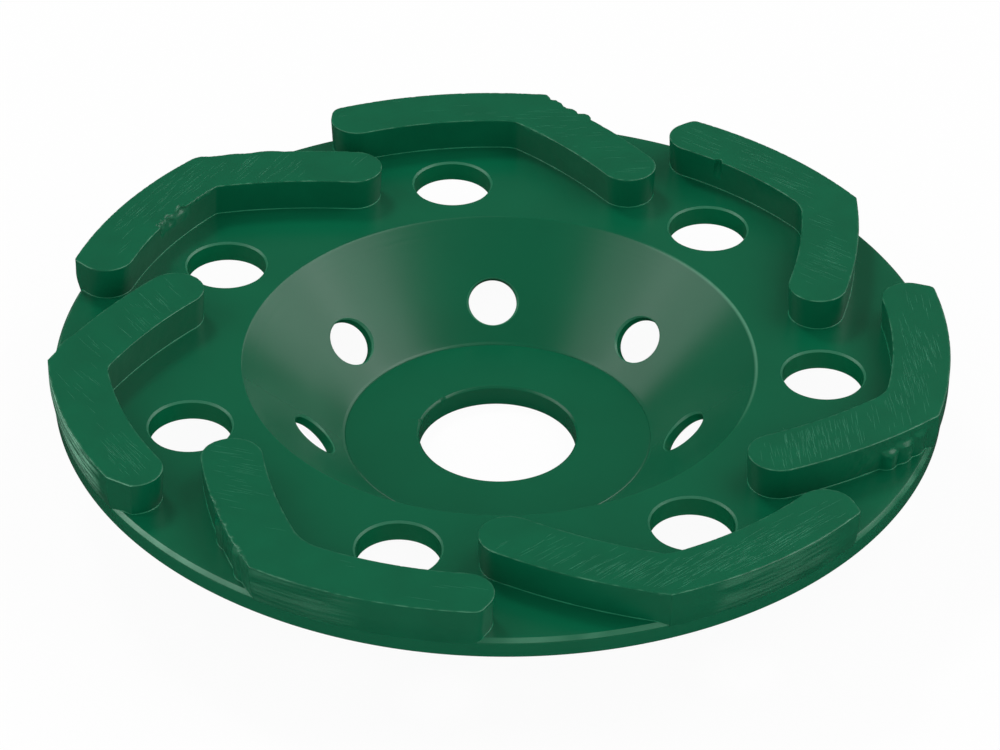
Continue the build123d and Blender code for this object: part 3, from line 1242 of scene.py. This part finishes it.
    def _chips(self, sides: list[Side], along: np.ndarray, run: np.ndarray) -> tuple[np.ndarray, np.ndarray]:
        """Works out where the top edge has crumbled.

        Args:
            sides: The side of each outline point.
            along: Its distance along that side.
            run: Its distance along the whole outline.

        Returns:
            For each outline point, how deep the edge has crumbled and how far down the wall.
        """
        passed, chip_depth, chip_reach = self.edge_chips
        fine = Draw.EDGE_CHIPS.noise(self.number)
        depth = np.clip(fine.along(run) - passed, 0, None) * chip_depth
        reach = np.full(len(run), chip_reach)
        fade = 0.5
        for crumble in self.crumbles:
            here = np.array([side is crumble.side for side in sides])
            inside = np.clip((along - crumble.start) / fade, 0, 1) * np.clip((crumble.end - along) / fade, 0, 1)
            coarse = SmoothNoise(crumble.seed + 17 * self.number, crumble.pitch).along(run, angular=True)
            ragged = SmoothNoise(crumble.seed + 31 * self.number, crumble.pitch / 3).along(run, angular=True)
            broken = np.clip(crumble.cover + self.bite_mix[0] * coarse + self.bite_mix[1] * ragged, 0, 1)
            bite = broken * crumble.depth * inside * here
            reach = np.where(bite > depth, crumble.reach, reach)
            depth = np.maximum(depth, bite)
        return depth, reach

    def _outer_share(self, flat: np.ndarray) -> np.ndarray:
        """Tells how far each outline point belongs to the face that was ground round with the wheel's edge."""
        band, ramp = self.outer_band
        return np.clip((np.linalg.norm(flat, axis=1) - (self.wheel_radius - band)) / ramp, 0, 1)

    def _inset(self, level: np.ndarray, outer: np.ndarray) -> np.ndarray:
        """Gives how far the wall lies inside its top outline at a level above the flange.

        Args:
            level: Height above the flange at each point, below zero on the skirt.
            outer: Each point's share of the ground outer face.

        Returns:
            The inset, inwards positive. The pressed walls draw in evenly, the ground face only near its foot.
        """
        pressed = self.draft * (1 - np.clip(level / self.height, 0, 1)) ** self.draft_power
        low = np.clip((self.skirt_height - level) / (self.skirt_height + self.skirt_drop), 0, 1)
        return pressed * (1 - outer) + self.skirt_inset * low ** self.skirt_power * outer

    def _place(self, flat: np.ndarray, normals: np.ndarray, shift: np.ndarray, level: np.ndarray) -> np.ndarray:
        """Moves outline points along their normals, never past the wheel's edge, and lifts them.

        Args:
            flat: The outline points.
            normals: Their outward normals.
            shift: How far each goes outwards.
            level: Its height above the flange.

        Returns:
            The points in space.
        """
        spot = flat + normals * shift[:, None]
        radius = np.linalg.norm(spot, axis=1)
        spot *= np.minimum(1.0, (self.wheel_radius - self.edge_clearance) / radius)[:, None]
        return np.column_stack([spot, self.base + level])

    def skin(self) -> Skin:
        """Builds the closed skin: the wall ring by ring, its rounded top edge, the top's net and the base.

        Returns:
            The skin.
        """
        flat, normals, sides, along = self.outline()
        count = len(flat)
        run = np.concatenate([[0], np.cumsum(np.linalg.norm(np.diff(flat, axis=0), axis=1))])
        depth, reach = self._chips(sides, along, run)
        outer = self._outer_share(flat)
        on_arm = np.array([side is Side.ARM_OUTER for side in sides])
        first, last, strength = self.ground
        stretch = np.clip((along - first) / 2, 0, 1) * np.clip((last - along) / 4, 0, 1)
        ground = self.ground_everywhere + strength * outer * on_arm * stretch
        on_leg = np.array([side is Side.LEG_OUTER for side in sides])
        flank = self.flank_roughness * on_leg * np.clip((17 - along) / 4, 0, 1)
        wall_top = self.height - self.edge_round
        shares = np.linspace(0, 1, self.rows) ** 0.9
        lowest = -self.skirt_drop * outer
        proud = self._proud(sides, along, shares * wall_top / self.height)
        pressed = Draw.PRESSED_WALL.noise(self.number)
        gritty = Draw.GRIT.noise(self.number)
        coarse = Draw.ROUGH_FLANK.noise(self.number)
        streaks = Draw.STREAK_WEAR_AND_SHEEN.noise(self.number)
        rings, worn_and_highlit, marks, strips = [], [], [], []
        for share, out in zip(shares, proud):
            level = lowest + (wall_top - lowest) * share
            below = np.clip(1 - (self.height - level) / reach, 0, 1) ** 1.5
            uneven = self.wall_uneven * pressed.over(run, level) + self.wall_grit * gritty.over(run, level)
            burr = flank * (coarse.over(run, level * 0.7) + 0.5 * gritty.over(run, level))
            # Both die out towards the foot, where the braze lies, and mostly towards the edge
            calm = np.clip(level / 0.5, 0, 1) * np.clip((self.height - level) / 0.4, 0.2, 1)
            pitted = np.clip(1 + 0.9 * coarse.over(run, level * 1.3), 0.1, 2.0)
            shift = out + (uneven + burr) * calm - depth * below * pitted - self._inset(level, outer)
            rings.append(self._place(flat, normals, shift, level))
            # Paler streaks on the ground outer face, about 4.5 mm long and 0.2 mm high: partly wear, partly a painted
            # sheen
            streak = np.clip(streaks.over(run * 0.22, level * 5.3) + 0.4, 0, 1)
            face_wear_and_sheen = self.outer_face_wear_and_sheen * (ground - self.ground_everywhere) * streak
            worn_and_highlit.append(self.crumb_wear * below * (depth > self.crumb_least) + face_wear_and_sheen)
            strips.append(np.column_stack([run, level, np.zeros(count)]))
            marks.append(ground)
        top_out = proud[-1] - depth
        # Patchiness along the paler top edge, partly wear and partly painted highlight
        edge_wear_and_highlight = Draw.EDGE_WEAR_AND_HIGHLIGHT.noise(self.number).along(run)
        at_end = np.array([side is Side.ARM_END for side in sides])
        past_start = np.arange(count) - sides.index(Side.ARM_END)
        # The top edge of a broken end is painted near white: a painted glint
        painted_glint = 2.0 * (at_end & (past_start < self.break_steps)) if self.broken_end else 0.0
        # Each ring of the rounded edge is painted paler by its tone: partly wear, partly a painted highlight
        for inset, drop, wear_and_highlight_tone in self.edge_rings:
            shift = top_out - self.edge_round * inset
            level = self.height - self.edge_round * drop - self.crumb_sink * depth * (1 - drop)
            rings.append(self._place(flat, normals, shift, level))
            worn_and_highlit.append(np.clip(wear_and_highlight_tone * np.clip(0.4 + 0.8 * edge_wear_and_highlight + painted_glint, 0.0, 2.0), 0, 1))
            strips.append(np.column_stack([run, level, np.zeros(count)]))
            marks.append(ground * 0)
        points = np.vstack(rings)
        faces = []
        for row in range(len(rings) - 1):
            low = row * count + np.arange(count)
            high = low + count
            faces += np.column_stack([low, np.roll(low, -1), np.roll(high, -1), high]).tolist()
        top_points, top_faces, scratched = self._cap(rings[-1], len(points) - count)
        faces += top_faces + [tuple(range(count - 1, -1, -1))]
        extra = len(top_points)
        return Skin(
            points=np.vstack([points, top_points]),
            faces=faces,
            worn_and_highlit=np.concatenate(worn_and_highlit + [np.zeros(extra)]),
            ground=np.concatenate(marks + [np.zeros(extra)]),
            scratched=np.concatenate([np.zeros(len(points)), scratched]),
            strip=np.vstack(strips + [np.zeros((extra, 3))]),
            foot=rings[0],
            foot_outer=outer,
        )

    def _cap(self, rim: np.ndarray, first: int) -> tuple[np.ndarray, list, np.ndarray]:
        """Fills the top inside its rim with an even net, so that the ground face can carry real relief.

        Args:
            rim: The last ring of the wall.
            first: The number of the ring's first point.

        Returns:
            The net's points, the top's faces, and how many scratches start at each point.
        """
        low, high = rim[:, :2].min(axis=0), rim[:, :2].max(axis=0)
        columns = np.arange(low[0], high[0], self.grid)
        lines = np.arange(low[1], high[1], self.grid * math.sqrt(3) / 2)
        x = (columns[None, :] + (np.arange(len(lines)) % 2)[:, None] * self.grid / 2).ravel()
        y = np.repeat(lines, len(columns))
        keep = self._inside(x, y, rim[:, :2], self.grid * 0.55)
        net = np.column_stack([x[keep], y[keep]])
        count = len(rim)
        flat = [Vector(p) for p in np.vstack([rim[:, :2], net])]
        _, _, triangles, origins, _, _ = delaunay_2d_cdt(flat, [], [list(range(count))], 1, 1e-7)
        number = [origin[0] for origin in origins]
        x, y = net[:, 0], net[:, 1]
        swell = self.top_swell * Draw.TOP_SWELL.noise(self.number).over(x, y)
        ripple = self.top_ripple * Draw.TOP_RIPPLE.noise(self.number).over(x, y)
        edge = self._edge_distance(x, y, rim[:, :2])
        height = swell + ripple - self.top_swell
        points = np.column_stack([net, self.base + self.height + height * np.clip(edge / self.level_edge, 0, 1)])
        faces = [tuple(first + number[k] for k in triangle) for triangle in triangles]
        stray = Draw.STRAY_SCRATCHES.noise(self.number).over(x, y)
        scratched = np.clip(stray * self.stray_share + self.scratch_share, 0, 1)
        for patch in self.patches:
            away = ((x - patch.x) / patch.reach_x) ** 2 + ((y - patch.y) / patch.reach_y) ** 2
            scratched = np.maximum(scratched, patch.share * np.exp(-away))
        margin, ramp = self.scratch_margin
        return points, faces, scratched * np.clip((edge - margin) / ramp, 0, 1)

    @staticmethod
    def _edge_distance(x: np.ndarray, y: np.ndarray, loop: np.ndarray) -> np.ndarray:
        """Measures from places to a loop, in batches to spare memory.

        Args:
            x: The places' first coordinates.
            y: Their second coordinates.
            loop: The loop's points.

        Returns:
            Each place's distance from the loop's nearest point.
        """
        batch = 2000
        nearest = np.empty(len(x))
        for start in range(0, len(x), batch):
            part = slice(start, start + batch)
            gaps = (x[part, None] - loop[None, :, 0]) ** 2 + (y[part, None] - loop[None, :, 1]) ** 2
            nearest[part] = np.sqrt(gaps.min(axis=1))
        return nearest

    def _inside(self, x: np.ndarray, y: np.ndarray, loop: np.ndarray, margin: float) -> np.ndarray:
        """Tells which places lie inside a loop.

        Args:
            x: The places' first coordinates.
            y: Their second coordinates.
            loop: The loop's points.
            margin: How far from the loop a place must lie.

        Returns:
            True for each place that does.
        """
        after = np.roll(loop, -1, axis=0)
        crossings = np.zeros(len(x), int)
        for (x0, y0), (x1, y1) in zip(loop, after):
            if y0 == y1:
                continue
            spans = (y0 > y) != (y1 > y)
            crossings += spans & (x < (x1 - x0) * (y - y0) / (y1 - y0) + x0)
        within = crossings % 2 == 1
        near = np.ones(len(x), bool)
        near[within] = self._edge_distance(x[within], y[within], loop) > margin
        return within & near

    def _turned(self, points: np.ndarray) -> np.ndarray:
        """Turns points from the drawing to the segment's place round the wheel.

        Args:
            points: Points in space, in the drawing.

        Returns:
            The points in their place.
        """
        turn = math.radians(self.turn)
        placed = np.array(points, float)
        placed[:, :2] = placed[:, :2] @ np.array([[math.cos(turn), math.sin(turn)], [-math.sin(turn), math.cos(turn)]])
        return placed

    def build(self, finishes: Finishes) -> list[bpy.types.Object]:
        """Makes the segment at its place on the flange, with its braze and scratches, for the frame.

        Args:
            finishes: The shared finishes.

        Returns:
            The segment, its braze seam and its scratches.
        """
        skin = self.skin()
        name = f"diamond_segment_{self.number}"
        piece = mesh_object(name, self._turned(skin.points), skin.faces, finishes.sintered)
        for label in ("worn_and_highlit", "ground", "scratched"):
            set_layer(piece, label, getattr(skin, label))
        strip = piece.data.attributes.new("strip", "FLOAT_VECTOR", "POINT")
        strip.data.foreach_set("vector", skin.strip.astype(np.float32).ravel())
        piece.data.set_sharp_from_angle(angle=math.radians(self.sharp_above))
        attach(piece, BODY)
        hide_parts(f"segment_{self.number}")
        braze = BrazeSeam(self.number, self._turned(skin.foot), skin.foot_outer).build(finishes)
        scratches = Scratches(self.number, self.turn, self.scratch_lean).build(piece, finishes)
        log.info("%s: %d faces", name, len(piece.data.polygons))
        return [piece, braze, scratches]


@dataclass
class BrazeSeam:
    """The thin run of braze along a segment's foot, with the small beads that spattered from it."""

    number: int
    foot: np.ndarray
    outer: np.ndarray
    step: float = 0.17
    radius: float = 0.11
    least_share: float = 0.25
    # How fast the run dies out towards the ground outer face, and how uneven it is
    outer_cut: float = 1.4
    unevenness: float = 0.35
    spatter_per_mm2: float = 0.3
    spatter_radius: float = 0.075
    spatter_sizes: tuple[float, float] = (0.45, 1.25)

    @property
    def sizes(self) -> dict[str, float | int]:
        """The numbers that the seam's tree takes in."""
        return {
            "Run radius": self.radius * MM,
            "Spatter density": self.spatter_per_mm2 / MM ** 2,
            "Spatter radius": self.spatter_radius * MM,
            "Seed": self.number,
        }

    def tree(self, finishes: Finishes) -> bpy.types.NodeTree:
        """Builds the geometry tree that sweeps the run along its path and scatters the spatter on it.

        Args:
            finishes: The shared finishes.

        Returns:
            The tree.
        """
        tree, given = geometry_tree("braze_seam", "Path", self.sizes, "Seam")
        path = add_node(tree, "GeometryNodeMeshToCurve", links={0: given["Path"]})
        share = add_node(tree, "GeometryNodeInputNamedAttribute", {"data_type": "FLOAT", "Name": "bead"})
        profile = add_node(tree, "GeometryNodeCurvePrimitiveCircle", {"Resolution": 8}, {"Radius": given["Run radius"]})
        run = add_node(
            tree,
            "GeometryNodeCurveToMesh",
            {"Fill Caps": True},
            {"Curve": path.outputs[0], "Profile Curve": profile.outputs[0], "Scale": share.outputs[0]},
        )
        spots = add_node(
            tree,
            "GeometryNodeDistributePointsOnFaces",
            links={"Mesh": run.outputs[0], "Density": given["Spatter density"], "Seed": given["Seed"]},
        )
        drop = add_node(tree, "GeometryNodeMeshIcoSphere", {"Subdivisions": 2}, {"Radius": given["Spatter radius"]})
        size = add_node(
            tree,
            "FunctionNodeRandomValue",
            {"data_type": "FLOAT", 2: self.spatter_sizes[0], 3: self.spatter_sizes[1]},
            {"Seed": given["Seed"]},
        )
        drops = add_node(
            tree,
            "GeometryNodeInstanceOnPoints",
            links={"Points": spots.outputs[0], "Instance": drop.outputs[0], "Scale": size.outputs[1]},
        )
        both = add_node(tree, "GeometryNodeJoinGeometry")
        tree.links.new(drops.outputs[0], both.inputs[0])
        tree.links.new(run.outputs[0], both.inputs[0])
        return finish_tree(tree, both.outputs[0], finishes.braze, "Seam")

    def build(self, finishes: Finishes) -> bpy.types.Object:
        """Makes the seam where the pressed walls stand on the flange.

        Args:
            finishes: The shared finishes.

        Returns:
            The seam.
        """
        wander = Draw.BRAZE_WANDER.noise(self.number).along(np.arange(len(self.foot)) * self.step)
        share = np.clip(1 - self.outer * self.outer_cut, 0, 1) * (1 + self.unevenness * wander)
        keep = np.where(share > self.least_share)[0]
        start = int(np.argmax(np.diff(np.concatenate([[keep[-1] - len(share)], keep]))))
        order = np.roll(keep, -start)[::2]
        points = self.foot[order] * MM
        mesh = bpy.data.meshes.new("seam_path")
        mesh.from_pydata(points.tolist(), [(k, k + 1) for k in range(len(order) - 1)], [])
        seam = bpy.data.objects.new(f"braze_seam_{self.number}", mesh)
        bpy.context.scene.collection.objects.link(seam)
        set_layer(seam, "bead", share[order])
        bake(seam, self.tree(finishes), self.sizes)
        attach(seam, BODY)
        return seam


@dataclass
class Scratches:
    """Fine ridges that the grinding of a segment's top drew up, nearly along the wheel's turning."""

    number: int
    turn: float
    lean: float = 12.0
    spread: float = 4.0
    per_mm2: float = 2.0
    length: tuple[float, float] = (0.6, 2.8)
    width: float = 0.022
    height: float = 0.007

    @property
    def sizes(self) -> dict[str, float | int]:
        """The numbers that the ridges' tree takes in."""
        return {
            "Density": self.per_mm2 / MM ** 2,
            "Direction": math.radians(self.turn + self.lean),
            "Spread": math.radians(self.spread),
            "Seed": 40 + self.number,
        }

    def tree(self, finishes: Finishes) -> bpy.types.NodeTree:
        """Builds the geometry tree that strews ridges over the scratched patches of the top.

        Args:
            finishes: The shared finishes.

        Returns:
            The tree.
        """
        tree, given = geometry_tree("scratches", "Segment", self.sizes, "Ridges")
        patch = add_node(tree, "GeometryNodeInputNamedAttribute", {"data_type": "FLOAT", "Name": "scratched"})
        density = add_node(
            tree,
            "ShaderNodeMath",
            {"operation": "MULTIPLY"},
            {0: patch.outputs[0], 1: given["Density"]},
        )
        spots = add_node(
            tree,
            "GeometryNodeDistributePointsOnFaces",
            links={"Mesh": given["Segment"], "Density": density.outputs[0], "Seed": given["Seed"]},
        )
        ridge = add_node(tree, "GeometryNodeMeshIcoSphere", {"Subdivisions": 1, "Radius": 1.0})
        length = add_node(
            tree,
            "FunctionNodeRandomValue",
            {"data_type": "FLOAT", 2: self.length[0] * MM, 3: self.length[1] * MM},
            {"Seed": given["Seed"]},
        )
        size = add_node(
            tree,
            "ShaderNodeCombineXYZ",
            {"Y": self.width * MM, "Z": self.height * MM},
            {"X": length.outputs[1]},
        )
        wobble = add_node(tree, "FunctionNodeRandomValue", {"data_type": "FLOAT", 2: -1.0, 3: 1.0, "Seed": 5})
        heading = add_node(
            tree,
            "ShaderNodeMath",
            {"operation": "MULTIPLY_ADD"},
            {0: wobble.outputs[1], 1: given["Spread"], 2: given["Direction"]},
        )
        rotation = add_node(tree, "ShaderNodeCombineXYZ", links={"Z": heading.outputs[0]})
        ridges = add_node(
            tree,
            "GeometryNodeInstanceOnPoints",
            links={
                "Points": spots.outputs[0],
                "Instance": ridge.outputs[0],
                "Rotation": rotation.outputs[0],
                "Scale": size.outputs[0],
            },
        )
        return finish_tree(tree, ridges.outputs[0], finishes.scratch, "Ridges")

    def build(self, segment: bpy.types.Object, finishes: Finishes) -> bpy.types.Object:
        """Makes the ridges on a finished segment.

        Args:
            segment: The segment, with its scratched patches.
            finishes: The shared finishes.

        Returns:
            The ridges.
        """
        ridges = bpy.data.objects.new(f"grinding_scratches_{self.number}", segment.data.copy())
        bpy.context.scene.collection.objects.link(ridges)
        bake(ridges, self.tree(finishes), self.sizes)
        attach(ridges, BODY)
        return ridges


@dataclass
class SegmentRing:
    """The seven segments, each with the flash, chips and broken places that it carries."""

    def segments(self) -> list[Segment]:
        """Lists the segments as they stand round the wheel.

        Returns:
            The seven segments, clockwise from the one at the back left.
        """
        return [
            Segment(
                1,
                inner_corner_radius=1.0,
                arm_end_radius=0.8,
                lumps=(Lump(1.2, 2.5, 0.25), Lump(6.0, 9.0, 0.12), Lump(11.0, 9.0, 0.3)),
                crumbles=(
                    Crumble(Side.ARM_INNER, 8.6, 16.2, depth=0.9, reach=2.2, pitch=1.5, cover=0.55, seed=3),
                    Crumble(Side.ARM_INNER, 2.0, 8.6, depth=0.3, reach=0.6, pitch=0.7, seed=5),
                ),
                patches=(Patch(-12.0, 56.5, 4.5, 2.5, 0.5), Patch(6.0, 51.5, 6.0, 1.5, 0.4)),
                scratch_lean=14.0,
            ),
            Segment(
                2,
                arm_end_radius=2.0,
                lumps=(Lump(1.2, 1.8, 0.9), Lump(3.8, 2.2, 0.6), Lump(7.2, 2.0, 0.3), Lump(9.6, 1.4, 0.7)),
                crumbles=(
                    Crumble(Side.LEG_OUTER, 1.0, 10.5, depth=0.15, reach=0.6, pitch=0.8, seed=4),
                    Crumble(Side.LEG_INNER, 4.5, 9.5, depth=0.35, reach=0.6, pitch=0.7, seed=9),
                ),
                flank_roughness=0.05,
                patches=(Patch(-7.0, 55.0, 8.0, 2.5, 0.25),),
                scratch_lean=10.0,
            ),
            Segment(
                3,
                inner_corner_radius=5.0,
                arm_end_radius=1.4,
                notch=(19.2, 0.6),
                patches=(Patch(10.0, 48.0, 3.5, 4.0, 0.9), Patch(-11.5, 56.5, 3.0, 1.5, 0.5)),
                scratch_lean=20.0,
            ),
            Segment(
                4,
                inner_corner_radius=5.0,
                lumps=(Lump(3.6, 2.4, 0.5, 0.74), Lump(6.2, 2.4, 0.8, 0.65), Lump(8.6, 1.6, 0.9, 0.55)),
                flank_roughness=0.06,
                patches=(Patch(-8.0, 56.0, 9.0, 3.0, 1.0), Patch(10.0, 48.0, 9.0, 5.0, 1.0)),
                scratch_lean=22.0,
            ),
            Segment(
                5,
                crumbles=(Crumble(Side.LEG_OUTER, -0.5, 3.0, depth=0.15, reach=0.4, pitch=0.5, seed=2),),
                ground=(6.0, 27.0, 1.0),
                outer_face_wear_and_sheen=0.12,
                patches=(
                    Patch(-12.0, 58.0, 14.0, 4.0, 1.1),
                    Patch(6.0, 56.0, 10.0, 4.0, 0.8),
                    Patch(12.0, 50.0, 5.0, 4.0, 0.4),
                ),
                scratch_share=0.06,
                scratch_lean=21.0,
            ),
            Segment(
                6,
                inner_corner_radius=7.0,
                arm_end_radius=1.8,
                lumps=(Lump(4.6, 2.6, 0.4, 0.9), Lump(12.0, 3.0, 0.4, 0.74)),
                crumbles=(Crumble(Side.LEG_OUTER, 0.5, 16.0, depth=0.3, reach=0.9, pitch=0.7, seed=6),),
                flank_roughness=0.06,
                ground=(-1.0, 16.0, 1.0),
                outer_face_wear_and_sheen=0.1,
                patches=(Patch(12.0, 46.0, 6.0, 4.0, 0.4),),
                scratch_share=0.03,
                scratch_lean=15.0,
            ),
            Segment(
                7,
                lumps=(Lump(4.5, 8.0, 0.35),),
                broken_end=(2.6, 1.8),
                ground=(0.0, 27.0, 0.8),
                outer_face_wear_and_sheen=1.5,
                patches=(Patch(-21.0, 52.0, 5.0, 3.0, 0.9), Patch(8.0, 48.0, 8.0, 3.0, 0.35)),
                scratch_lean=27.0,
            ),
        ]

    def build(self, finishes: Finishes) -> list[bpy.types.Object]:
        """Makes all the segments."""
        return [piece for segment in self.segments() for piece in segment.build(finishes)]


@dataclass(frozen=True)
class SoftBox:
    """A soft box: bearing from +X and elevation in degrees, apparent size in degrees, and radiance.

    One that isn't mirrored lights the paint without showing in its gloss, as a lamp behind a polarising sheet.
    """

    name: str
    bearing: float
    elevation: float
    width: float
    height: float
    radiance: float
    mirrored: bool = True


@dataclass
class Studio:
    """The pale floor, the lamps and the camera."""

    soft_boxes: tuple[SoftBox, ...] = (
        SoftBox("key", 122, 51, 14, 14, 1.0),
        SoftBox("key_polarised", 122, 51, 12, 12, 23.5, mirrored=False),
        SoftBox("right_near", 0, 50, 26, 36, 1.55),
        SoftBox("right_middle", 25, 44, 26, 44, 1.64),
        SoftBox("right_far", 50, 34, 26, 40, 1.1),
        SoftBox("left_far", 162, 38, 26, 40, 1.4),
        SoftBox("left_near", 188, 42, 26, 40, 1.0),
        SoftBox("overhead", 0, 75, 34, 34, 0.45),
        SoftBox("front_fill", -90, 30, 50, 40, 2.15, mirrored=False),
        SoftBox("left_fill", 205, 25, 50, 40, 1.0, mirrored=False),
        SoftBox("right_fill", -25, 25, 50, 40, 1.4, mirrored=False),
    )
    lamp_distance: float = 1000.0
    centre_height: float = 3.1
    camera_distance: float = 564.595
    camera_elevation: float = 36.477
    camera_roll: float = -0.8788
    aim_x: float = 0.2001
    aim_y: float = 13.987
    focal_length_px: float = 3990.2
    sensor_mm: float = 36.0
    # The nearest and the farthest that the camera sees, in metres
    clip_m: tuple[float, float] = (0.01, 10.0)
    floor_size: float = 3000.0
    floor_colour: str = "#E8E8E8"
    floor_in_gloss: str = "#404040"
    floor_glow: float = 0.95
    room_in_gloss: float = 0.12

    def camera(self) -> None:
        """Sets the camera where the photograph was taken from."""
        rise = math.radians(self.camera_elevation)
        spot = Vector((
            0.0,
            -self.camera_distance * math.cos(rise),
            self.camera_distance * math.sin(rise) + self.centre_height,
        ))
        ahead = (Vector((self.aim_x, self.aim_y, self.centre_height)) - spot).normalized()
        level = ahead.cross(Vector((0, 0, 1))).normalized()
        down = ahead.cross(level)
        roll = math.radians(self.camera_roll)
        right = math.cos(roll) * level + math.sin(roll) * down
        lower = -math.sin(roll) * level + math.cos(roll) * down
        turn = Matrix((right, -lower, -ahead)).transposed()
        data = bpy.data.cameras.new("camera")
        data.sensor_width = self.sensor_mm
        data.lens = self.focal_length_px / PICTURE_WIDTH_PX * self.sensor_mm
        data.clip_start, data.clip_end = self.clip_m
        camera = bpy.data.objects.new("camera", data)
        camera.matrix_world = Matrix.Translation(spot * MM) @ turn.to_4x4()
        bpy.context.scene.collection.objects.link(camera)
        bpy.context.scene.camera = camera

    def lamp(self, lamp: SoftBox) -> None:
        """Hangs a soft box a metre off that faces the wheel.

        Args:
            lamp: The soft box.
        """
        data = bpy.data.lights.new(lamp.name, "AREA")
        data.shape = "RECTANGLE"
        data.size = 2 * self.lamp_distance * math.tan(math.radians(lamp.width / 2)) * MM
        data.size_y = 2 * self.lamp_distance * math.tan(math.radians(lamp.height / 2)) * MM
        data.energy = lamp.radiance * math.pi * data.size * data.size_y
        box = bpy.data.objects.new(lamp.name, data)
        flat = polar(self.lamp_distance * math.cos(math.radians(lamp.elevation)), lamp.bearing)
        spot = Vector((*flat, self.lamp_distance * math.sin(math.radians(lamp.elevation))))
        box.location = spot * MM
        box.rotation_euler = spot.to_track_quat("Z", "Y").to_euler()
        box.visible_glossy = lamp.mirrored
        bpy.context.scene.collection.objects.link(box)

    @staticmethod
    def _sees_white(tree: bpy.types.NodeTree, rays: bpy.types.Node) -> bpy.types.NodeSocket:
        """Picks the rays that see the backdrop white: the camera's own and those through clear things.

        Args:
            tree: The tree of the floor or the room.
            rays: Its Light Path node.

        Returns:
            1 for those rays and 0 for the others.
        """
        picked = add_node(
            tree,
            "ShaderNodeMath",
            {"operation": "MAXIMUM"},
            {0: rays.outputs["Is Camera Ray"], 1: rays.outputs["Is Transmission Ray"]},
        )
        return picked.outputs[0]

    def floor(self) -> None:
        """Lays the pale floor, which keeps the wheel's faint shadow and is a dull card in the paint's gloss."""
        half = self.floor_size / 2
        points = np.array([[-half, -half, 0], [half, -half, 0], [half, half, 0], [-half, half, 0]])
        material = bpy.data.materials.new("white_backdrop_card")
        material.use_nodes = True
        tree = material.node_tree
        tree.nodes.clear()
        rays = add_node(tree, "ShaderNodeLightPath")
        shade = add_node(
            tree,
            "ShaderNodeMix",
            {"data_type": "RGBA", 6: linear(self.floor_colour), 7: linear(self.floor_in_gloss)},
            {0: rays.outputs["Is Glossy Ray"]},
        )
        card = add_node(tree, "ShaderNodeBsdfDiffuse", links={"Color": shade.outputs[2]})
        glow = add_node(tree, "ShaderNodeEmission", {"Color": linear("#FFFFFF"), "Strength": 1.0})
        share = add_node(
            tree, "ShaderNodeMath", {"operation": "MULTIPLY", 1: self.floor_glow}, {0: self._sees_white(tree, rays)}
        )
        mix = add_node(
            tree,
            "ShaderNodeMixShader",
            links={0: share.outputs[0], 1: card.outputs[0], 2: glow.outputs[0]},
        )
        add_node(tree, "ShaderNodeOutputMaterial", links={"Surface": mix.outputs[0]})
        floor = mesh_object("studio_floor", points, [(0, 1, 2, 3)], material)

    def world(self) -> None:
        """Makes the room white to the camera and dim in the paint's gloss. It gives the wheel no other light."""
        world = bpy.data.worlds.new("studio")
        bpy.context.scene.world = world
        world.use_nodes = True
        world.cycles.sampling_method = "NONE"
        tree = world.node_tree
        tree.nodes.clear()
        rays = add_node(tree, "ShaderNodeLightPath")
        fill = add_node(
            tree,
            "ShaderNodeMapRange",
            {"To Min": 0.0, "To Max": self.room_in_gloss},
            {"Value": rays.outputs["Is Glossy Ray"]},
        )
        strength = add_node(
            tree,
            "ShaderNodeMath",
            {"operation": "MAXIMUM"},
            {0: fill.outputs[0], 1: self._sees_white(tree, rays)},
        )
        sky = add_node(tree, "ShaderNodeBackground", {"Color": (1, 1, 1, 1)}, {"Strength": strength.outputs[0]})
        add_node(tree, "ShaderNodeOutputWorld", links={"Surface": sky.outputs[0]})

    def build(self) -> None:
        """Sets up the whole studio."""
        self.floor()
        self.world()
        for soft_box in self.soft_boxes:
            self.lamp(soft_box)
        self.camera()
        bpy.context.scene.view_settings.view_transform = "Standard"
        log.info("studio ready")


def main() -> None:
    """Builds the wheel and its studio, piece by piece."""
    logging.basicConfig(level=logging.INFO, format="%(message)s")
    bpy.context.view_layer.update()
    finishes = Finishes()
    Cup().build(finishes)
    SegmentRing().build(finishes)
    Studio().build()


if __name__ == "__main__":
    main()
